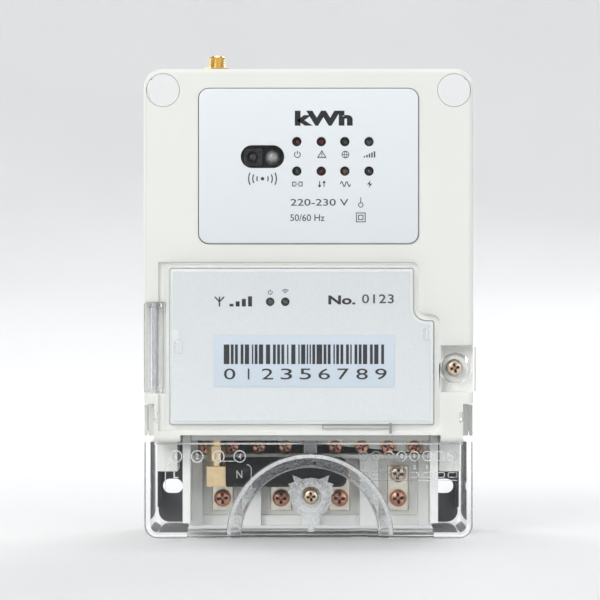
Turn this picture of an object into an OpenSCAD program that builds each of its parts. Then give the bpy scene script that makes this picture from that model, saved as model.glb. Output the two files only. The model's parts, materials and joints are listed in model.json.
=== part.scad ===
// Prepaid single-phase electricity meter: a wall case with a nameplate window, a plug-in communication
// module behind a hinged clear cover, and screw terminals behind a clear terminal cover.
// Millimetres. Z is up, the wall is the XZ plane, the front faces -Y, and the origin is the centre of the back.
// Parts are laid out by x across, by z up from the bottom edge, and by depth d out from the wall.

/* [Case] */
// Width of the case
case_w = 112; // [111.6:0.2:113]
// Height of the case, from the bottom of the terminal cover to the top
case_h = 160; // [159:0.5:162]
// Depth from the wall to the front face
case_d = 55; // [55:0.1:55.4]
// Thickness of the moulded walls
wall = 2.2; // [2:0.1:2.4]
// Radius of the top corners
top_r = 6.5; // [6:0.25:7]
// Radius of the front edges
edge_r = 2.2; // [1.8:0.1:2.3]
// Depth of the dark rear tray
tray_d = 17.4; // [17:0.1:17.6]
// Thickness of the rear plate
plate_t = 2.4; // [2:0.1:2.5]

/* [Nameplate window] */
// Width of the raised window
window_w = 74.4; // [72:0.2:76]
// Height of the raised window
window_h = 52.5; // [51:0.5:54]
// Height of the window's centre above the bottom edge
window_z = 126.85; // [126:0.25:128]
// How far the window stands proud of the front face
window_rise = 1.2; // [0.8:0.1:1.6]

/* [Communication module] */
// Left side of the module bay
bay_x0 = -47.3; // [-47.3:0.1:-47]
// Right side of the lower part of the bay
bay_x1 = 42.7; // [42:0.1:42.7]
// Right side of the upper part of the bay
bay_x2 = 35.8; // [34:0.1:36]
// Bottom of the bay
bay_z0 = 38.9; // [38.9:0.1:39.2]
// Height of the step in the bay
bay_z1 = 74.6; // [74:0.1:76]
// Top of the bay
bay_z2 = 92.4; // [92:0.1:93]
// Thickness of the clear cover over the module
door_t = 1.6; // [1.2:0.1:1.8]

/* [Terminals] */
// Distance between neighbouring main terminals
main_pitch = 20.4; // [20.2:0.1:20.5]
// Radius of the main wire bores
wire_r = 3.3; // [2.8:0.1:3.4]
// Distance between neighbouring auxiliary terminals
aux_pitch = 9.2; // [9:0.1:9.3]
// Thickness of the clear terminal cover
clear_t = 2; // [1.6:0.1:2]

/* [Fixing] */
// Distance between the two lower fixing slots
slot_pitch = 96.6; // [96:0.2:97]
// Half the height of a fixing slot
slot_r = 2.6; // [2.2:0.1:2.8]
// Radius of the keyhole's round end
key_r = 4.5; // [4:0.1:4.6]

/* [Hidden] */
$fn = 48;

// Case
half_w = case_w / 2;
seam_d = tray_d + 0.8;
front_in = case_d - wall;
cover_z0 = 33.2;
cavity_z0 = 37.7;
cavity_x = half_w - wall;
plug_x = half_w - 6.6;
plug_z = case_h - 7.4;
way_x0 = -43.5;
way_x1 = 44.8;
way_d = 28.2;
apron_x0 = -40.1;
apron_x1 = 41.3;
apron_z0 = 33.3;
apron_d = 45.1;

// Nameplate window
window_x = window_w / 2;
window_z0 = window_z - window_h / 2;
window_z1 = window_z + window_h / 2;
panel_d = case_d - 0.5;
board_d = 46;
board_t = 1.6;
led_xs = [-4.0, 4.3, 12.3, 20.5];
led_z1 = 135.1;
led_z2 = 125.1;
ir_z = 130;

// Inside
main_board_d = 12;
on_board = main_board_d + board_t;
main_board_x = 47;
main_board_z0 = 44;
main_board_z1 = 146;
board_post_x = 42;
board_post_zs = [50, 140];
spacer_x = 33;
spacer_zs = [106, 141];

// Module bay, module and its cover
bay_floor_d = 41;
bay_wall = 1.6;
corner_r = 1;
step_r = 4;
gutter_d = case_d - 1.3;
module_gap = 0.4;
module_d = case_d + 0.6;
door_d0 = case_d + 1.4;
door_d1 = door_d0 + door_t;
door_lip = 1.5;
skirt_t = 1.6;
skirt_d = case_d - 0.5;
hinge_x = 3.7 - half_w;
hinge_d = 50;
hinge_z0 = 49.6;
hinge_z1 = 80.8;
hinge_pin_r = 1;
ear_x = half_w - 6.3;
ear_z = 58.3;
ear_z0 = 50.5;
ear_z1 = 65.6;
header_x0 = -7;
header_x1 = 17;
header_z0 = 85;
header_z1 = 88;

// Terminal block
block_x0 = -42;
block_x1 = 43.4;
block_mid = 0.7;
main_xs = [for (i = [-1.5:1.5]) block_mid + main_pitch * i];
main_screw_zs = [12.3, 20.8];
bore_d = 15.5;
block_d = 24;
aux_d = 28;
chamber_z1 = 27.7;
chamber_d = 29.5;
aux_z = 30.2;
aux_xs = [for (s = [-1, 1], i = [0:3]) block_mid + s * (8.7 + aux_pitch * i)];
seal_x = 0.85;
seal_z = 14;
plunger_z = 30.5;

// Clear terminal cover
clear_d0 = 1;
clear_d1 = 50;
clear_z1 = 33;
arch_r0 = 23.4;
arch_r1 = 27.2;
arch_x = 0.5;
arch_z = 0.4;
arch_d = 44.5;
arm_x = half_w - 3.2;
arm_d = seam_d + 0.4;
cable_way_d = 33;

// Antenna and its jacks
coax_x = -31.8;
coax_d = 35;
elbow_x0 = -35.1;
elbow_x1 = -28.5;
rod_z = 21.9;
rod_r = 5.2;
rod_x1 = 13.3;
top_coax_d = 26;
jack_nut_z1 = case_h + 2.4;
jack_neck_r = 2.5;

// ---- layout helpers ----

// Moves the bottom edge's frame to the part's frame
module in_case() translate([0, 0, -case_h / 2]) children();

// A flat outline in x and z, extruded from depth d0 to depth d1
module facing(d0, d1) translate([0, -d0, 0]) rotate([90, 0, 0]) linear_extrude(d1 - d0) children();

module box(x0, x1, z0, z1, d0, d1) translate([x0, -d1, z0]) cube([x1 - x0, d1 - d0, z1 - z0]);

// A round rod that points at the wall
module rod(x, z, d0, d1, r) translate([x, -d0, z]) rotate([90, 0, 0]) cylinder(r = r, h = d1 - d0);

// A round post that stands upright
module post(x, d, z0, z1, r, sides = $fn) {
    translate([x, -d, z0]) cylinder(r = r, h = z1 - z0, $fn = sides);
}

// A turned shape about a line that points at the wall; points are [radius, depth]
module turned(x, z, points) {
    translate([x, 0, z]) rotate([90, 0, 0]) rotate_extrude() polygon(points);
}

// A turned shape about an upright line; points are [radius, z]
module turned_up(x, d, points) translate([x, -d, 0]) rotate_extrude() polygon(points);

function arc(x, z, r, from, to, steps = 6) =
    [for (i = [0:steps]) let (a = from + (to - from) * i / steps) [x + r * cos(a), z + r * sin(a)]];

function round_rect(x0, x1, z0, z1, r) = concat(
    arc(x1 - r, z1 - r, r, 0, 90),
    arc(x0 + r, z1 - r, r, 90, 180),
    arc(x0 + r, z0 + r, r, 180, 270),
    arc(x1 - r, z0 + r, r, 270, 360));

// A panel whose bottom corners are square and whose top corners are round
function round_top(x0, x1, z0, z1, r) =
    concat([[x0, z0], [x1, z0]], arc(x1 - r, z1 - r, r, 0, 90), arc(x0 + r, z1 - r, r, 90, 180));

// The module's outline, grown by g: a rectangle with a rounded step at its upper right corner
function stepped(g) = let (r = max(0.4, corner_r + g), c = step_r - g) concat(
    arc(bay_x2 + g - r, bay_z2 + g - r, r, 0, 90),
    arc(bay_x0 - g + r, bay_z2 + g - r, r, 90, 180),
    arc(bay_x0 - g + r, bay_z0 - g + r, r, 180, 270),
    arc(bay_x1 + g - r, bay_z0 - g + r, r, 270, 360),
    arc(bay_x1 + g - r, bay_z1 + g - r, r, 0, 90),
    arc(bay_x2 + g + c, bay_z1 + g + c, c, 270, 180));

// Section through a rounded front edge: out to reach, forward to depth, rounded by f
function edge_section(reach, depth, f) =
    concat([[0, 0], [reach, 0]], arc(reach - f, depth - f, f, 0, 90), [[0, depth]]);

// Half of a rounded panel. It rises from z = 0 to len, its far corners have radius r, and its front edge
// is rounded by f. Its pieces meet on flat faces.
module half_panel(w, len, depth, r, f) {
    side = w / 2 - r;
    translate([-side, 0, 0]) rotate([90, 0, 90]) linear_extrude(2 * side)
        polygon([for (p = edge_section(len, depth, f)) [-p[1], p[0]]]);
    for (s = [0, 1]) mirror([s, 0, 0]) {
        translate([side, 0, 0]) linear_extrude(len - r)
            polygon([for (p = edge_section(r, depth, f)) [p[0], -p[1]]]);
        translate([side, 0, len - r]) rotate([90, 0, 0]) rotate_extrude(angle = 90)
            polygon(edge_section(r, depth, f));
    }
}

// A whole rounded panel between two depths
module round_panel(w, z0, z1, d0, d1, r_low, r_high, f) {
    mid = (z0 + z1) / 2;
    translate([0, -d0, mid]) half_panel(w, z1 - mid, d1 - d0, r_high, f);
    translate([0, -d0, mid]) mirror([0, 0, 1]) half_panel(w, mid - z0, d1 - d0, r_low, f);
}

// A screw driven towards the wall, with a domed head on its seat and a cross recess
module cross_screw(x, z, seat_d, tip_d, head_r, head_h, shank_r) {
    difference() {
        turned(x, z, [[0, tip_d], [shank_r * 0.6, tip_d], [shank_r, tip_d + 0.5], [shank_r, seat_d],
            [head_r, seat_d], [head_r, seat_d + head_h * 0.5], [head_r * 0.88, seat_d + head_h * 0.78],
            [head_r * 0.6, seat_d + head_h], [0, seat_d + head_h]]);
        for (a = [45, 135]) translate([x, -seat_d - head_h * 0.45, z]) rotate([90, a, 0])
            translate([-head_r * 0.62, -head_r * 0.14, 0]) cube([head_r * 1.24, head_r * 0.28, head_h]);
    }
}

// A round LED that stands on a board, with a flange at its foot and a domed tip
module led(x, z, foot_d, tip_d, r) {
    turned(x, z, concat([[0, foot_d], [r + 0.3, foot_d], [r + 0.3, foot_d + 0.8], [r, foot_d + 0.8]],
        [for (i = [0:5]) [r * cos(i * 18), tip_d - r + r * sin(i * 18)]]));
}

// ---- case ----

module cover_envelope() {
    round_panel(case_w, cover_z0, case_h, seam_d, case_d, edge_r + 0.3, top_r, edge_r);
}

module base_shell() {
    floor_z = cavity_z0 - 2.1;
    color([0.2, 0.2, 0.21]) in_case() difference() {
        union() {
            difference() {
                facing(0, tray_d) polygon(round_top(-half_w, half_w, floor_z, case_h, top_r));
                facing(plate_t, tray_d + 1)
                    polygon(round_top(-cavity_x, cavity_x, cavity_z0, case_h - wall, top_r - wall));
                box(way_x0, way_x1, floor_z - 1, cavity_z0 + 1, plate_t, tray_d + 1);
            }
            // lower plate behind the terminals, with side rims
            facing(0, plate_t) polygon(round_rect(2.6 - half_w, half_w - 2.6, 2.2, floor_z + 1, 4));
            for (s = [0, 1]) mirror([s, 0, 0]) {
                box(half_w - 3.8, half_w - 2.6, 8, floor_z + 1, 0, 10);
                rod(plug_x, plug_z, 0, tray_d, 5);
                for (z = board_post_zs) rod(board_post_x, z, 0, main_board_d, 3);
            }
            box(-7, 7, 132, 150, 0, 8.5);
        }
        for (s = [-1, 1]) {
            rod(s * plug_x, plug_z, 6, tray_d + 1, 1.6);
            for (z = board_post_zs) rod(s * board_post_x, z, 6, main_board_d + 1, 1.25);
            // lower fixing slot
            facing(-1, plate_t + 1) translate([s * slot_pitch / 2, 15]) {
                for (e = [-1, 1]) translate([e, 0]) circle(slot_r);
                square([2, 2 * slot_r], center = true);
            }
        }
        // keyhole and the closed pocket behind it
        box(-5.8, 5.8, 133.2, 148.8, plate_t, 7.3);
        rod(0, 138, -1, plate_t + 0.1, key_r);
        facing(-1, plate_t + 0.1) union() {
            translate([-2.3, 138]) square([4.6, 7]);
            translate([0, 145]) circle(2.3);
        }
    }
}

module base_gasket() {
    color([0.12, 0.12, 0.12]) in_case() facing(tray_d, seam_d) difference() {
        polygon(round_top(0.4 - half_w, half_w - 0.4, 35.6, case_h - 0.4, top_r - 0.4));
        polygon(round_top(0.2 - cavity_x, cavity_x - 0.2, 37.5, case_h - wall - 0.2, top_r - wall));
        translate([way_x0, 30]) square([way_x1 - way_x0, 20]);
    }
}

module main_cover() {
    color([0.92, 0.92, 0.89]) in_case() difference() {
        union() {
            difference() {
                cover_envelope();
                facing(seam_d - 1, front_in) polygon(round_top(-cavity_x, cavity_x, cavity_z0, case_h - wall, 4.3));
                // lower edge is set back over the terminals, and open where the block passes
                box(way_x0 - 0.1, way_x1 + 0.1, cover_z0 - 1, 35.5, seam_d - 1, case_d + 1);
                box(way_x0, way_x1, cover_z0, cavity_z0 + 1, seam_d - 1, way_d);
                // window opening
                facing(front_in - 1, case_d + 1)
                    polygon(round_rect(-window_x - 0.3, window_x + 0.3, window_z0 - 0.3, window_z1 + 0.3, 3.6));
            }
            // walls and floor of the module bay
            facing(bay_floor_d - bay_wall, front_in + 0.2) polygon(stepped(bay_wall));
            // blocks behind the hinge notch and the ear notch
            box(-half_w, bay_x0 - bay_wall, hinge_z0 - 1.4, hinge_z1 + 1.4, 43.6, front_in + 0.2);
            box(bay_x1 + bay_wall, half_w, ear_z0 - 2, ear_z1 + 2, 38, front_in + 0.2);
            for (s = [0, 1]) mirror([s, 0, 0]) {
                rod(plug_x, plug_z, seam_d, front_in + 0.2, 6.4);
                // walls behind the arm recesses
                box(half_w - 5.8, cavity_x, cover_z0, 48.4, seam_d, front_in + 0.2);
                box(half_w - 10.8, half_w - 3.8, 22.3, 35, seam_d, 38);
            }
            // apron behind the lip of the terminal cover
            box(apron_x0, apron_x1, apron_z0, 36.5, apron_d - 1.7, apron_d);
        }
        // module bay and the shallow gutter round it
        facing(bay_floor_d, case_d + 1) polygon(stepped(0));
        facing(gutter_d, case_d + 1) polygon(stepped(door_lip + 0.4));
        box(bay_x0 - 3.7, bay_x0, bay_z0 - 1.9, bay_z2 + 1.9, gutter_d, case_d + 1);
        box(header_x0 - 0.5, header_x1 + 0.5, header_z0 - 0.5, header_z1 + 0.5, bay_floor_d - 3, bay_floor_d + 1);
        // hinge notch and its pin holes
        box(-half_w - 1, bay_x0 - 1.1, hinge_z0, hinge_z1, 45.2, case_d + 1);
        post(hinge_x, hinge_d, hinge_z0 - 1.1, hinge_z1 + 1.1, hinge_pin_r + 0.05);
        // ear notch, and the pocket of its screw insert
        box(bay_x1 + 2.2, half_w + 1, ear_z0 - 0.4, ear_z1 + 0.4, 49, case_d + 1);
        box(bay_x1 + 1.2, bay_x1 + 3, ear_z0 - 0.4, ear_z1 + 0.4, gutter_d, case_d + 1);
        rod(ear_x, ear_z, 39.5, 50, 2.92);
        for (s = [0, 1]) mirror([s, 0, 0]) {
            // arm recess and the slot for the arm's stud
            box(half_w - 3.6, half_w + 1, cover_z0 - 1, 46.2, seam_d - 1, case_d + 1);
            box(half_w - 4.8, half_w - 3, 39.7, 43.3, 42, case_d + 1);
            box(half_w - 9.6, half_w - 5, 23.5, 36, seam_d - 1, 36.8);
            rod(plug_x, plug_z, seam_d - 1, 25, 1.8);
            rod(plug_x, plug_z, 24, 52, 3.9);
            rod(plug_x, plug_z, 51.2, case_d + 1, 5.7);
        }
        post(coax_x, top_coax_d, case_h - 4, case_h + 1, jack_neck_r + 0.2);
        post(coax_x, coax_d, cover_z0, cavity_z0 + 1, 3.1);
    }
}

module screw_plugs() {
    color([0.93, 0.93, 0.92]) in_case() intersection() {
        cover_envelope();
        for (s = [-1, 1]) rod(s * plug_x, plug_z, 51.4, case_d + 1, 5.6);
    }
}

module case_screws() {
    color([0.75, 0.76, 0.78]) in_case()
        for (s = [-1, 1]) cross_screw(s * plug_x, plug_z, 24, 8, 3.4, 2.6, 1.5);
}

// ---- nameplate ----

module nameplate_window() {
    inset = 1.5;
    color([0.85, 0.88, 0.9, 0.3]) in_case() difference() {
        union() {
            round_panel(window_w, window_z0, window_z1, front_in - 1.4, case_d + window_rise, 3.4, 3.4, 0.7);
            facing(front_in - 1.4, front_in - 0.2) polygon(
                round_rect(-window_x - 2.2, window_x + 2.2, window_z0 - 2.2, window_z1 + 2.2, 4));
        }
        facing(front_in - 2, case_d - 0.4) polygon(
            round_rect(inset - window_x, window_x - inset, window_z0 + inset, window_z1 - inset, 2));
    }
}

module nameplate_panel() {
    inset = 1.6;
    color([0.87, 0.89, 0.91]) in_case() {
        difference() {
            facing(panel_d - 0.8, panel_d) polygon(
                round_rect(inset - window_x, window_x - inset, window_z0 + inset, window_z1 - inset, 1.9));
            for (x = led_xs, z = [led_z1, led_z2]) rod(x, z, panel_d - 2, panel_d + 1, 1.6);
            facing(panel_d - 2, panel_d + 1) translate([-15.7, ir_z]) {
                for (s = [-1, 1]) translate([s * 3.5, 0]) circle(3.95);
                square([7, 7.9], center = true);
            }
        }
        for (x = [-31, 31], z = [106, 148]) rod(x, z, board_d + board_t, panel_d - 0.8, 1.5);
    }
}

module display_board() {
    color([0.05, 0.35, 0.25]) in_case() difference() {
        facing(board_d, board_d + board_t) polygon(round_rect(-36, 36, 102, 151.5, 2));
        for (x = [-spacer_x, spacer_x], z = spacer_zs) rod(x, z, board_d - 1, board_d + board_t + 1, 1.1);
    }
}

// Threaded spacers that carry the display board, with a stub through each of its holes
module board_spacers() {
    color([0.78, 0.75, 0.6]) in_case() for (x = [-spacer_x, spacer_x], z = spacer_zs) {
        rod(x, z, on_board, board_d, 2.2);
        rod(x, z, board_d, board_d + board_t, 1.05);
    }
}

module leds(xs, z) for (x = xs) led(x, z, board_d + board_t, case_d - 0.75, 1.45);

module leds_red() {
    color([0.45, 0.08, 0.1]) in_case() {
        leds([led_xs[0], led_xs[1]], led_z1);
        leds([led_xs[1]], led_z2);
    }
}

module leds_green() {
    color([0.12, 0.25, 0.16]) in_case() {
        leds([led_xs[2]], led_z1);
        leds([led_xs[0]], led_z2);
    }
}

module leds_amber() color([0.55, 0.42, 0.25]) in_case() leds([led_xs[2]], led_z2);

module leds_clear() {
    color([0.5, 0.48, 0.52]) in_case() {
        leds([led_xs[3]], led_z1);
        leds([led_xs[3]], led_z2);
    }
}

module ir_receiver() {
    color([0.06, 0.05, 0.06]) in_case() {
        box(-22.2, -15.8, ir_z - 3, ir_z + 3, board_d + board_t, 51.4);
        led(-19, ir_z, 51.4, 53.4, 1.9);
    }
}

module ir_emitter() color([0.8, 0.82, 0.82, 0.6]) in_case() led(-12.2, ir_z, board_d + board_t, 53.4, 2.2);

// ---- inside ----

module power_board() {
    color([0.05, 0.35, 0.2]) in_case() difference() {
        box(-main_board_x, main_board_x, main_board_z0, main_board_z1, main_board_d, on_board);
        for (x = [-board_post_x, board_post_x], z = board_post_zs) {
            rod(x, z, main_board_d - 1, on_board + 1, 1.4);
        }
    }
}

module board_screws() {
    color([0.75, 0.76, 0.78]) in_case() for (x = [-board_post_x, board_post_x], z = board_post_zs) {
        cross_screw(x, z, on_board, 8, 2.6, 1.8, 1.2);
    }
}

module power_relay() {
    color([0.15, 0.15, 0.17]) in_case() difference() {
        box(-38, -4, 50, 78, on_board, 33);
        box(-36.5, -5.5, 51.5, 76.5, 32.2, 34);
    }
}

// A flat bar that stands up from a main terminal
module riser(i, z1) box(main_xs[i] - 3, main_xs[i] + 3, 23.3, z1, 15, 17);

module line_busbar() {
    color([0.72, 0.45, 0.3]) in_case() {
        riser(0, 43);
        box(main_xs[0] - 3, main_xs[0] + 3, 47, 50, 15, 17);
    }
}

module current_shunt() {
    color([0.55, 0.5, 0.45]) in_case() box(main_xs[0] - 3, main_xs[0] + 3, 43, 47, 15, 17);
}

module load_busbar() color([0.72, 0.45, 0.3]) in_case() riser(1, 50);

module neutral_busbar() {
    color([0.72, 0.45, 0.3]) in_case() {
        riser(2, 49);
        riser(3, 49);
        box(main_xs[2] - 3, main_xs[3] + 3, 48, 52, 15, 17);
    }
}

module bulk_capacitors() {
    color([0.12, 0.13, 0.2]) in_case() for (x = [22, 35]) {
        turned(x, 64, [[0, on_board], [5.5, on_board], [5.5, on_board + 1.4], [5.2, on_board + 1.9],
            [5.5, on_board + 2.4], [5.5, 33], [5.1, 33.5], [0, 33.5]]);
    }
}

module surge_varistor() {
    color([0.1, 0.25, 0.55]) in_case()
        translate([4, -on_board - 5, 66]) rotate([0, 90, 0]) cylinder(r = 5, h = 4);
}

module backup_battery() {
    color([0.25, 0.45, 0.3]) in_case() {
        translate([-28, -on_board - 7.2, 114]) rotate([0, 90, 0]) cylinder(r = 7.2, h = 25);
        translate([-29, -on_board - 7.2, 114]) rotate([0, 90, 0]) cylinder(r = 2.5, h = 1);
    }
}

module power_transformer() {
    color([0.75, 0.65, 0.2]) in_case() {
        box(21, 43, 80, 84, on_board, 34);
        box(21, 43, 94, 98, on_board, 34);
        box(21, 25, 84, 94, on_board, 34);
        box(39, 43, 84, 94, on_board, 34);
        box(27, 37, 84, 94, on_board, 33);
    }
}

module metering_chips() {
    color([0.1, 0.1, 0.1]) in_case() {
        box(-6, 4, 94, 104, on_board, on_board + 1.6);
        box(10, 16, 110, 118, on_board, on_board + 1.6);
        box(-4, 2, 122, 126, on_board, on_board + 1.4);
    }
}

module module_socket() {
    color([0.1, 0.1, 0.1]) in_case() difference() {
        box(header_x0 - 1, header_x1 + 1, header_z0 - 1, header_z1 + 1, on_board, 29);
        box(header_x0 - 0.1, header_x1 + 0.1, header_z0 - 0.1, header_z1 + 0.1, 24, 30);
    }
}

// ---- communication module ----

module module_housing() {
    color([0.88, 0.9, 0.9]) in_case() difference() {
        facing(bay_floor_d + 1.4, module_d) polygon(stepped(-module_gap));
        facing(bay_floor_d, module_d - 1.4) polygon(stepped(-module_gap - 1.4));
        for (x = [-13, -7.9]) rod(x, 80.8, module_d - 3, module_d + 1, 1.5);
    }
}

module module_back() {
    color([0.2, 0.2, 0.22]) in_case() {
        difference() {
            facing(bay_floor_d, bay_floor_d + 1.4) polygon(stepped(-module_gap));
            box(header_x0 - 0.5, header_x1 + 0.5, header_z0 - 0.5, header_z1 + 0.5, bay_floor_d - 1, bay_floor_d + 2);
        }
        for (x = [-40, 30], z = [46, 86]) rod(x, z, bay_floor_d + 1.4, 45, 2);
    }
}

module module_board() {
    color([0.05, 0.3, 0.4]) in_case() facing(45, 46.4) polygon(stepped(-3));
}

module module_modem() color([0.8, 0.8, 0.8]) in_case() box(-6, 20, 48, 72, 46.4, 49.4);

module sim_holder() {
    color([0.75, 0.72, 0.65]) in_case() difference() {
        box(-38, -22, 50, 66, 46.4, 48.2);
        box(-36.5, -21, 51.5, 64.5, 46.9, 47.8);
    }
}

module module_leds() color([0.45, 0.5, 0.42]) in_case() for (x = [-13, -7.9]) led(x, 80.8, 46.4, 55.3, 1.35);

module module_header() {
    color([0.08, 0.08, 0.08]) in_case() box(header_x0, header_x1, header_z0, header_z1, 24.2, 45);
}

module module_label() {
    color([0.91, 0.93, 0.94]) in_case() difference() {
        facing(module_d, module_d + 0.25) polygon(stepped(-1.4));
        for (x = [-13, -7.9]) rod(x, 80.8, module_d - 1, module_d + 1, 1.45);
        // cut-outs at the snap windows
        facing(module_d - 1, module_d + 1) union() {
            translate([bay_x0 + 1, 67]) square([2.2, 4.4]);
            translate([bay_x1 - 3, 68]) square([2, 4]);
        }
    }
}

module barcode_label() {
    color([0.83, 0.88, 0.92]) in_case() facing(module_d + 0.25, module_d + 0.37)
        polygon(round_rect(-32.1, 29.1, 51.9, 69.6, 0.6));
}

// ---- hinged clear cover over the module ----

module module_cover() {
    low = hinge_z0 + 0.4;
    high = hinge_z1 - 0.4;
    skin_d = door_d0 + 0.8;
    color([0.85, 0.88, 0.9, 0.35]) in_case() difference() {
        union() {
            facing(door_d0, door_d1) polygon(stepped(door_lip));
            difference() {
                facing(skirt_d, door_d0) polygon(stepped(door_lip));
                facing(skirt_d - 1, door_d0) polygon(stepped(door_lip - skirt_t));
            }
            // hinge knuckle inside a channel of three skins
            post(hinge_x, hinge_d, low, high, 2.6);
            box(0.2 - half_w, hinge_x, low, high, hinge_d - 1, hinge_d + 1);
            box(0.2 - half_w, 1.7 - half_w, low, high, hinge_d, skin_d);
            box(0.2 - half_w, bay_x0 - 0.8, low, high, skin_d - 1.5, skin_d);
            for (z = [low, high - 1.5]) box(0.2 - half_w, bay_x0 - 1.9, z, z + 1.5, hinge_d - 1, skin_d);
            // ear that holds the seal screw
            box(bay_x1 + 2.7, half_w + 0.7, ear_z0, ear_z1, 49.4, skin_d);
            box(bay_x1 + 0.8, bay_x1 + 3, ear_z0, ear_z1, skirt_d, skin_d);
        }
        post(hinge_x, hinge_d, low - 1, high + 1, hinge_pin_r + 0.06);
        turned(ear_x, ear_z, [[0, 48], [1.7, 48], [1.7, 52], [4.2, 52], [5.3, skin_d + 0.2], [0, skin_d + 0.2]]);
    }
}

module door_hinge_pin() {
    color([0.8, 0.81, 0.83]) in_case() post(hinge_x, hinge_d, hinge_z0 - 1, hinge_z1 + 1, hinge_pin_r);
}

module module_seal_screw() color([0.78, 0.74, 0.66]) in_case() cross_screw(ear_x, ear_z, 52.1, 40.4, 2.7, 2.2, 1.5);

module module_seal_ring() {
    color([0.15, 0.15, 0.15]) in_case()
        turned(ear_x, ear_z, [[1.54, 44.6], [2.4, 44.6], [2.4, 45.4], [1.54, 45.4]]);
}

module module_screw_insert() {
    color([0.8, 0.65, 0.35]) in_case()
        turned(ear_x, ear_z, [[1.85, 39.5], [2.9, 39.5], [2.9, 44.2], [1.85, 44.2]]);
}

// ---- terminals ----

module terminal_block() {
    gaps = [for (i = [0:4]) block_mid + main_pitch * (i - 2)];
    color([0.75, 0.76, 0.75]) in_case() difference() {
        union() {
            box(block_x0, block_x1, 2.8, 35.2, 2.6, block_d);
            box(block_x0, block_x1, chamber_z1 - 0.1, 35.2, 2.6, aux_d);
            box(block_x0, block_x1, 35, 42, 2.6, 22);
            // partitions between the wire chambers, and the bar above them
            for (x = [gaps[1], gaps[2], gaps[3]]) box(x - 3.3, x + 3.3, 2.8, chamber_z1, block_d, chamber_d);
            box(-40.5, gaps[0] + 3.3, 2.8, chamber_z1, block_d, chamber_d);
            box(gaps[4] - 3.3, 41.7, 2.8, chamber_z1, block_d, chamber_d);
            box(-40.5, 41.7, chamber_z1 - 1.4, chamber_z1, block_d, chamber_d);
            box(-40.5, 41.7, 2.8, 6.4, block_d, 27);
            // tall side ribs
            box(-43.1, -40.4, 4.9, 35.2, 2.6, 45);
            box(41.6, 44.4, 4.9, 35.2, 2.6, 45);
            rod(seal_x, seal_z, block_d, 30, 3.9);
        }
        for (x = main_xs) {
            post(x, bore_d, 2, 8.5, wire_r + 1.1);
            box(x - 5.05, x + 5.05, 8, 23.4, 9.9, 21.1);
            box(x - 3.55, x + 3.55, 8, 23.4, 21, block_d + 1);
            box(x - 3.1, x + 3.1, 23.3, 43, 14.9, 17.1);
        }
        for (x = aux_xs) {
            box(x - 2.65, x + 2.65, 27.9, 33.6, 19.9, aux_d + 1);
            box(x - 1.2, x + 1.2, 26, 28, 24.6, 27);
        }
        rod(seal_x, seal_z, block_d, 31, 2.62);
        // tamper switch pocket, with a narrower mouth
        box(block_mid - 2.8, block_mid + 2.8, plunger_z - 2.7, plunger_z + 2.7, 12, 24.6);
        box(block_mid - 2.5, block_mid + 2.5, plunger_z - 2.5, plunger_z + 2.5, 24, aux_d + 2);
    }
}

module main_terminals() {
    color([0.82, 0.8, 0.74]) in_case() for (x = main_xs) difference() {
        union() {
            box(x - 5, x + 5, 8, 23.3, 10, 21);
            box(x - 3.5, x + 3.5, 8, 23.3, 21, block_d + 1);
        }
        post(x, bore_d, 7, 21, wire_r);
        for (z = main_screw_zs) rod(x, z, bore_d, block_d + 2, 2.1);
    }
}

module main_terminal_screws() {
    color([0.62, 0.4, 0.32]) in_case() for (x = main_xs, z = main_screw_zs) {
        cross_screw(x, z, block_d + 1, 19.2, 3, 3.4, 2);
    }
}

module aux_terminals() {
    color([0.8, 0.68, 0.45]) in_case() for (x = aux_xs) difference() {
        box(x - 2.6, x + 2.6, 28, 33.5, 20, aux_d);
        box(x - 1.2, x + 1.2, 27, 32, 24.6, 27);
        rod(x, aux_z, 21, aux_d + 1, 1.3);
    }
}

module aux_terminal_screws() {
    color([0.6, 0.36, 0.3]) in_case() for (x = aux_xs) cross_screw(x, aux_z, aux_d, 27.1, 2.4, 2, 1.2);
}

module terminal_screw_insert() {
    color([0.8, 0.65, 0.35]) in_case()
        turned(seal_x, seal_z, [[1.65, block_d], [2.6, block_d], [2.6, 30], [1.65, 30]]);
}

module tamper_switch() {
    color([0.1, 0.1, 0.1]) in_case() {
        box(block_mid - 2.7, block_mid + 2.7, plunger_z - 2.6, plunger_z + 2.6, 12, 18);
        rod(block_mid, plunger_z, 18, 20, 1.2);
    }
}

module tamper_plunger() {
    color([0.85, 0.85, 0.84]) in_case() {
        box(block_mid - 2.6, block_mid + 2.6, plunger_z - 2.5, plunger_z + 2.5, 22, 23.2);
        box(block_mid - 2.3, block_mid + 2.3, plunger_z - 2.3, plunger_z + 2.3, 23, 30.5);
    }
}

// ---- clear terminal cover ----

// Half of the leaf-shaped web round the seal screw, from the foot of its stem up to the crown
leaf_half = [[0.9, 2], [1.1, 5.4], [3, 7.4], [5.4, 9.4], [6.9, 12.2], [7, 14.6], [8, 15.6],
    [6.9, 16.8], [7.8, 18.4], [5.7, 19], [6.3, 21.4], [3, 20], [0, 20.6]];

module leaf() {
    polygon(concat([for (p = leaf_half) [seal_x + p[0], p[1]]],
        [for (i = [len(leaf_half) - 2:-1:0]) [seal_x - leaf_half[i][0], leaf_half[i][1]]]));
}

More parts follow.
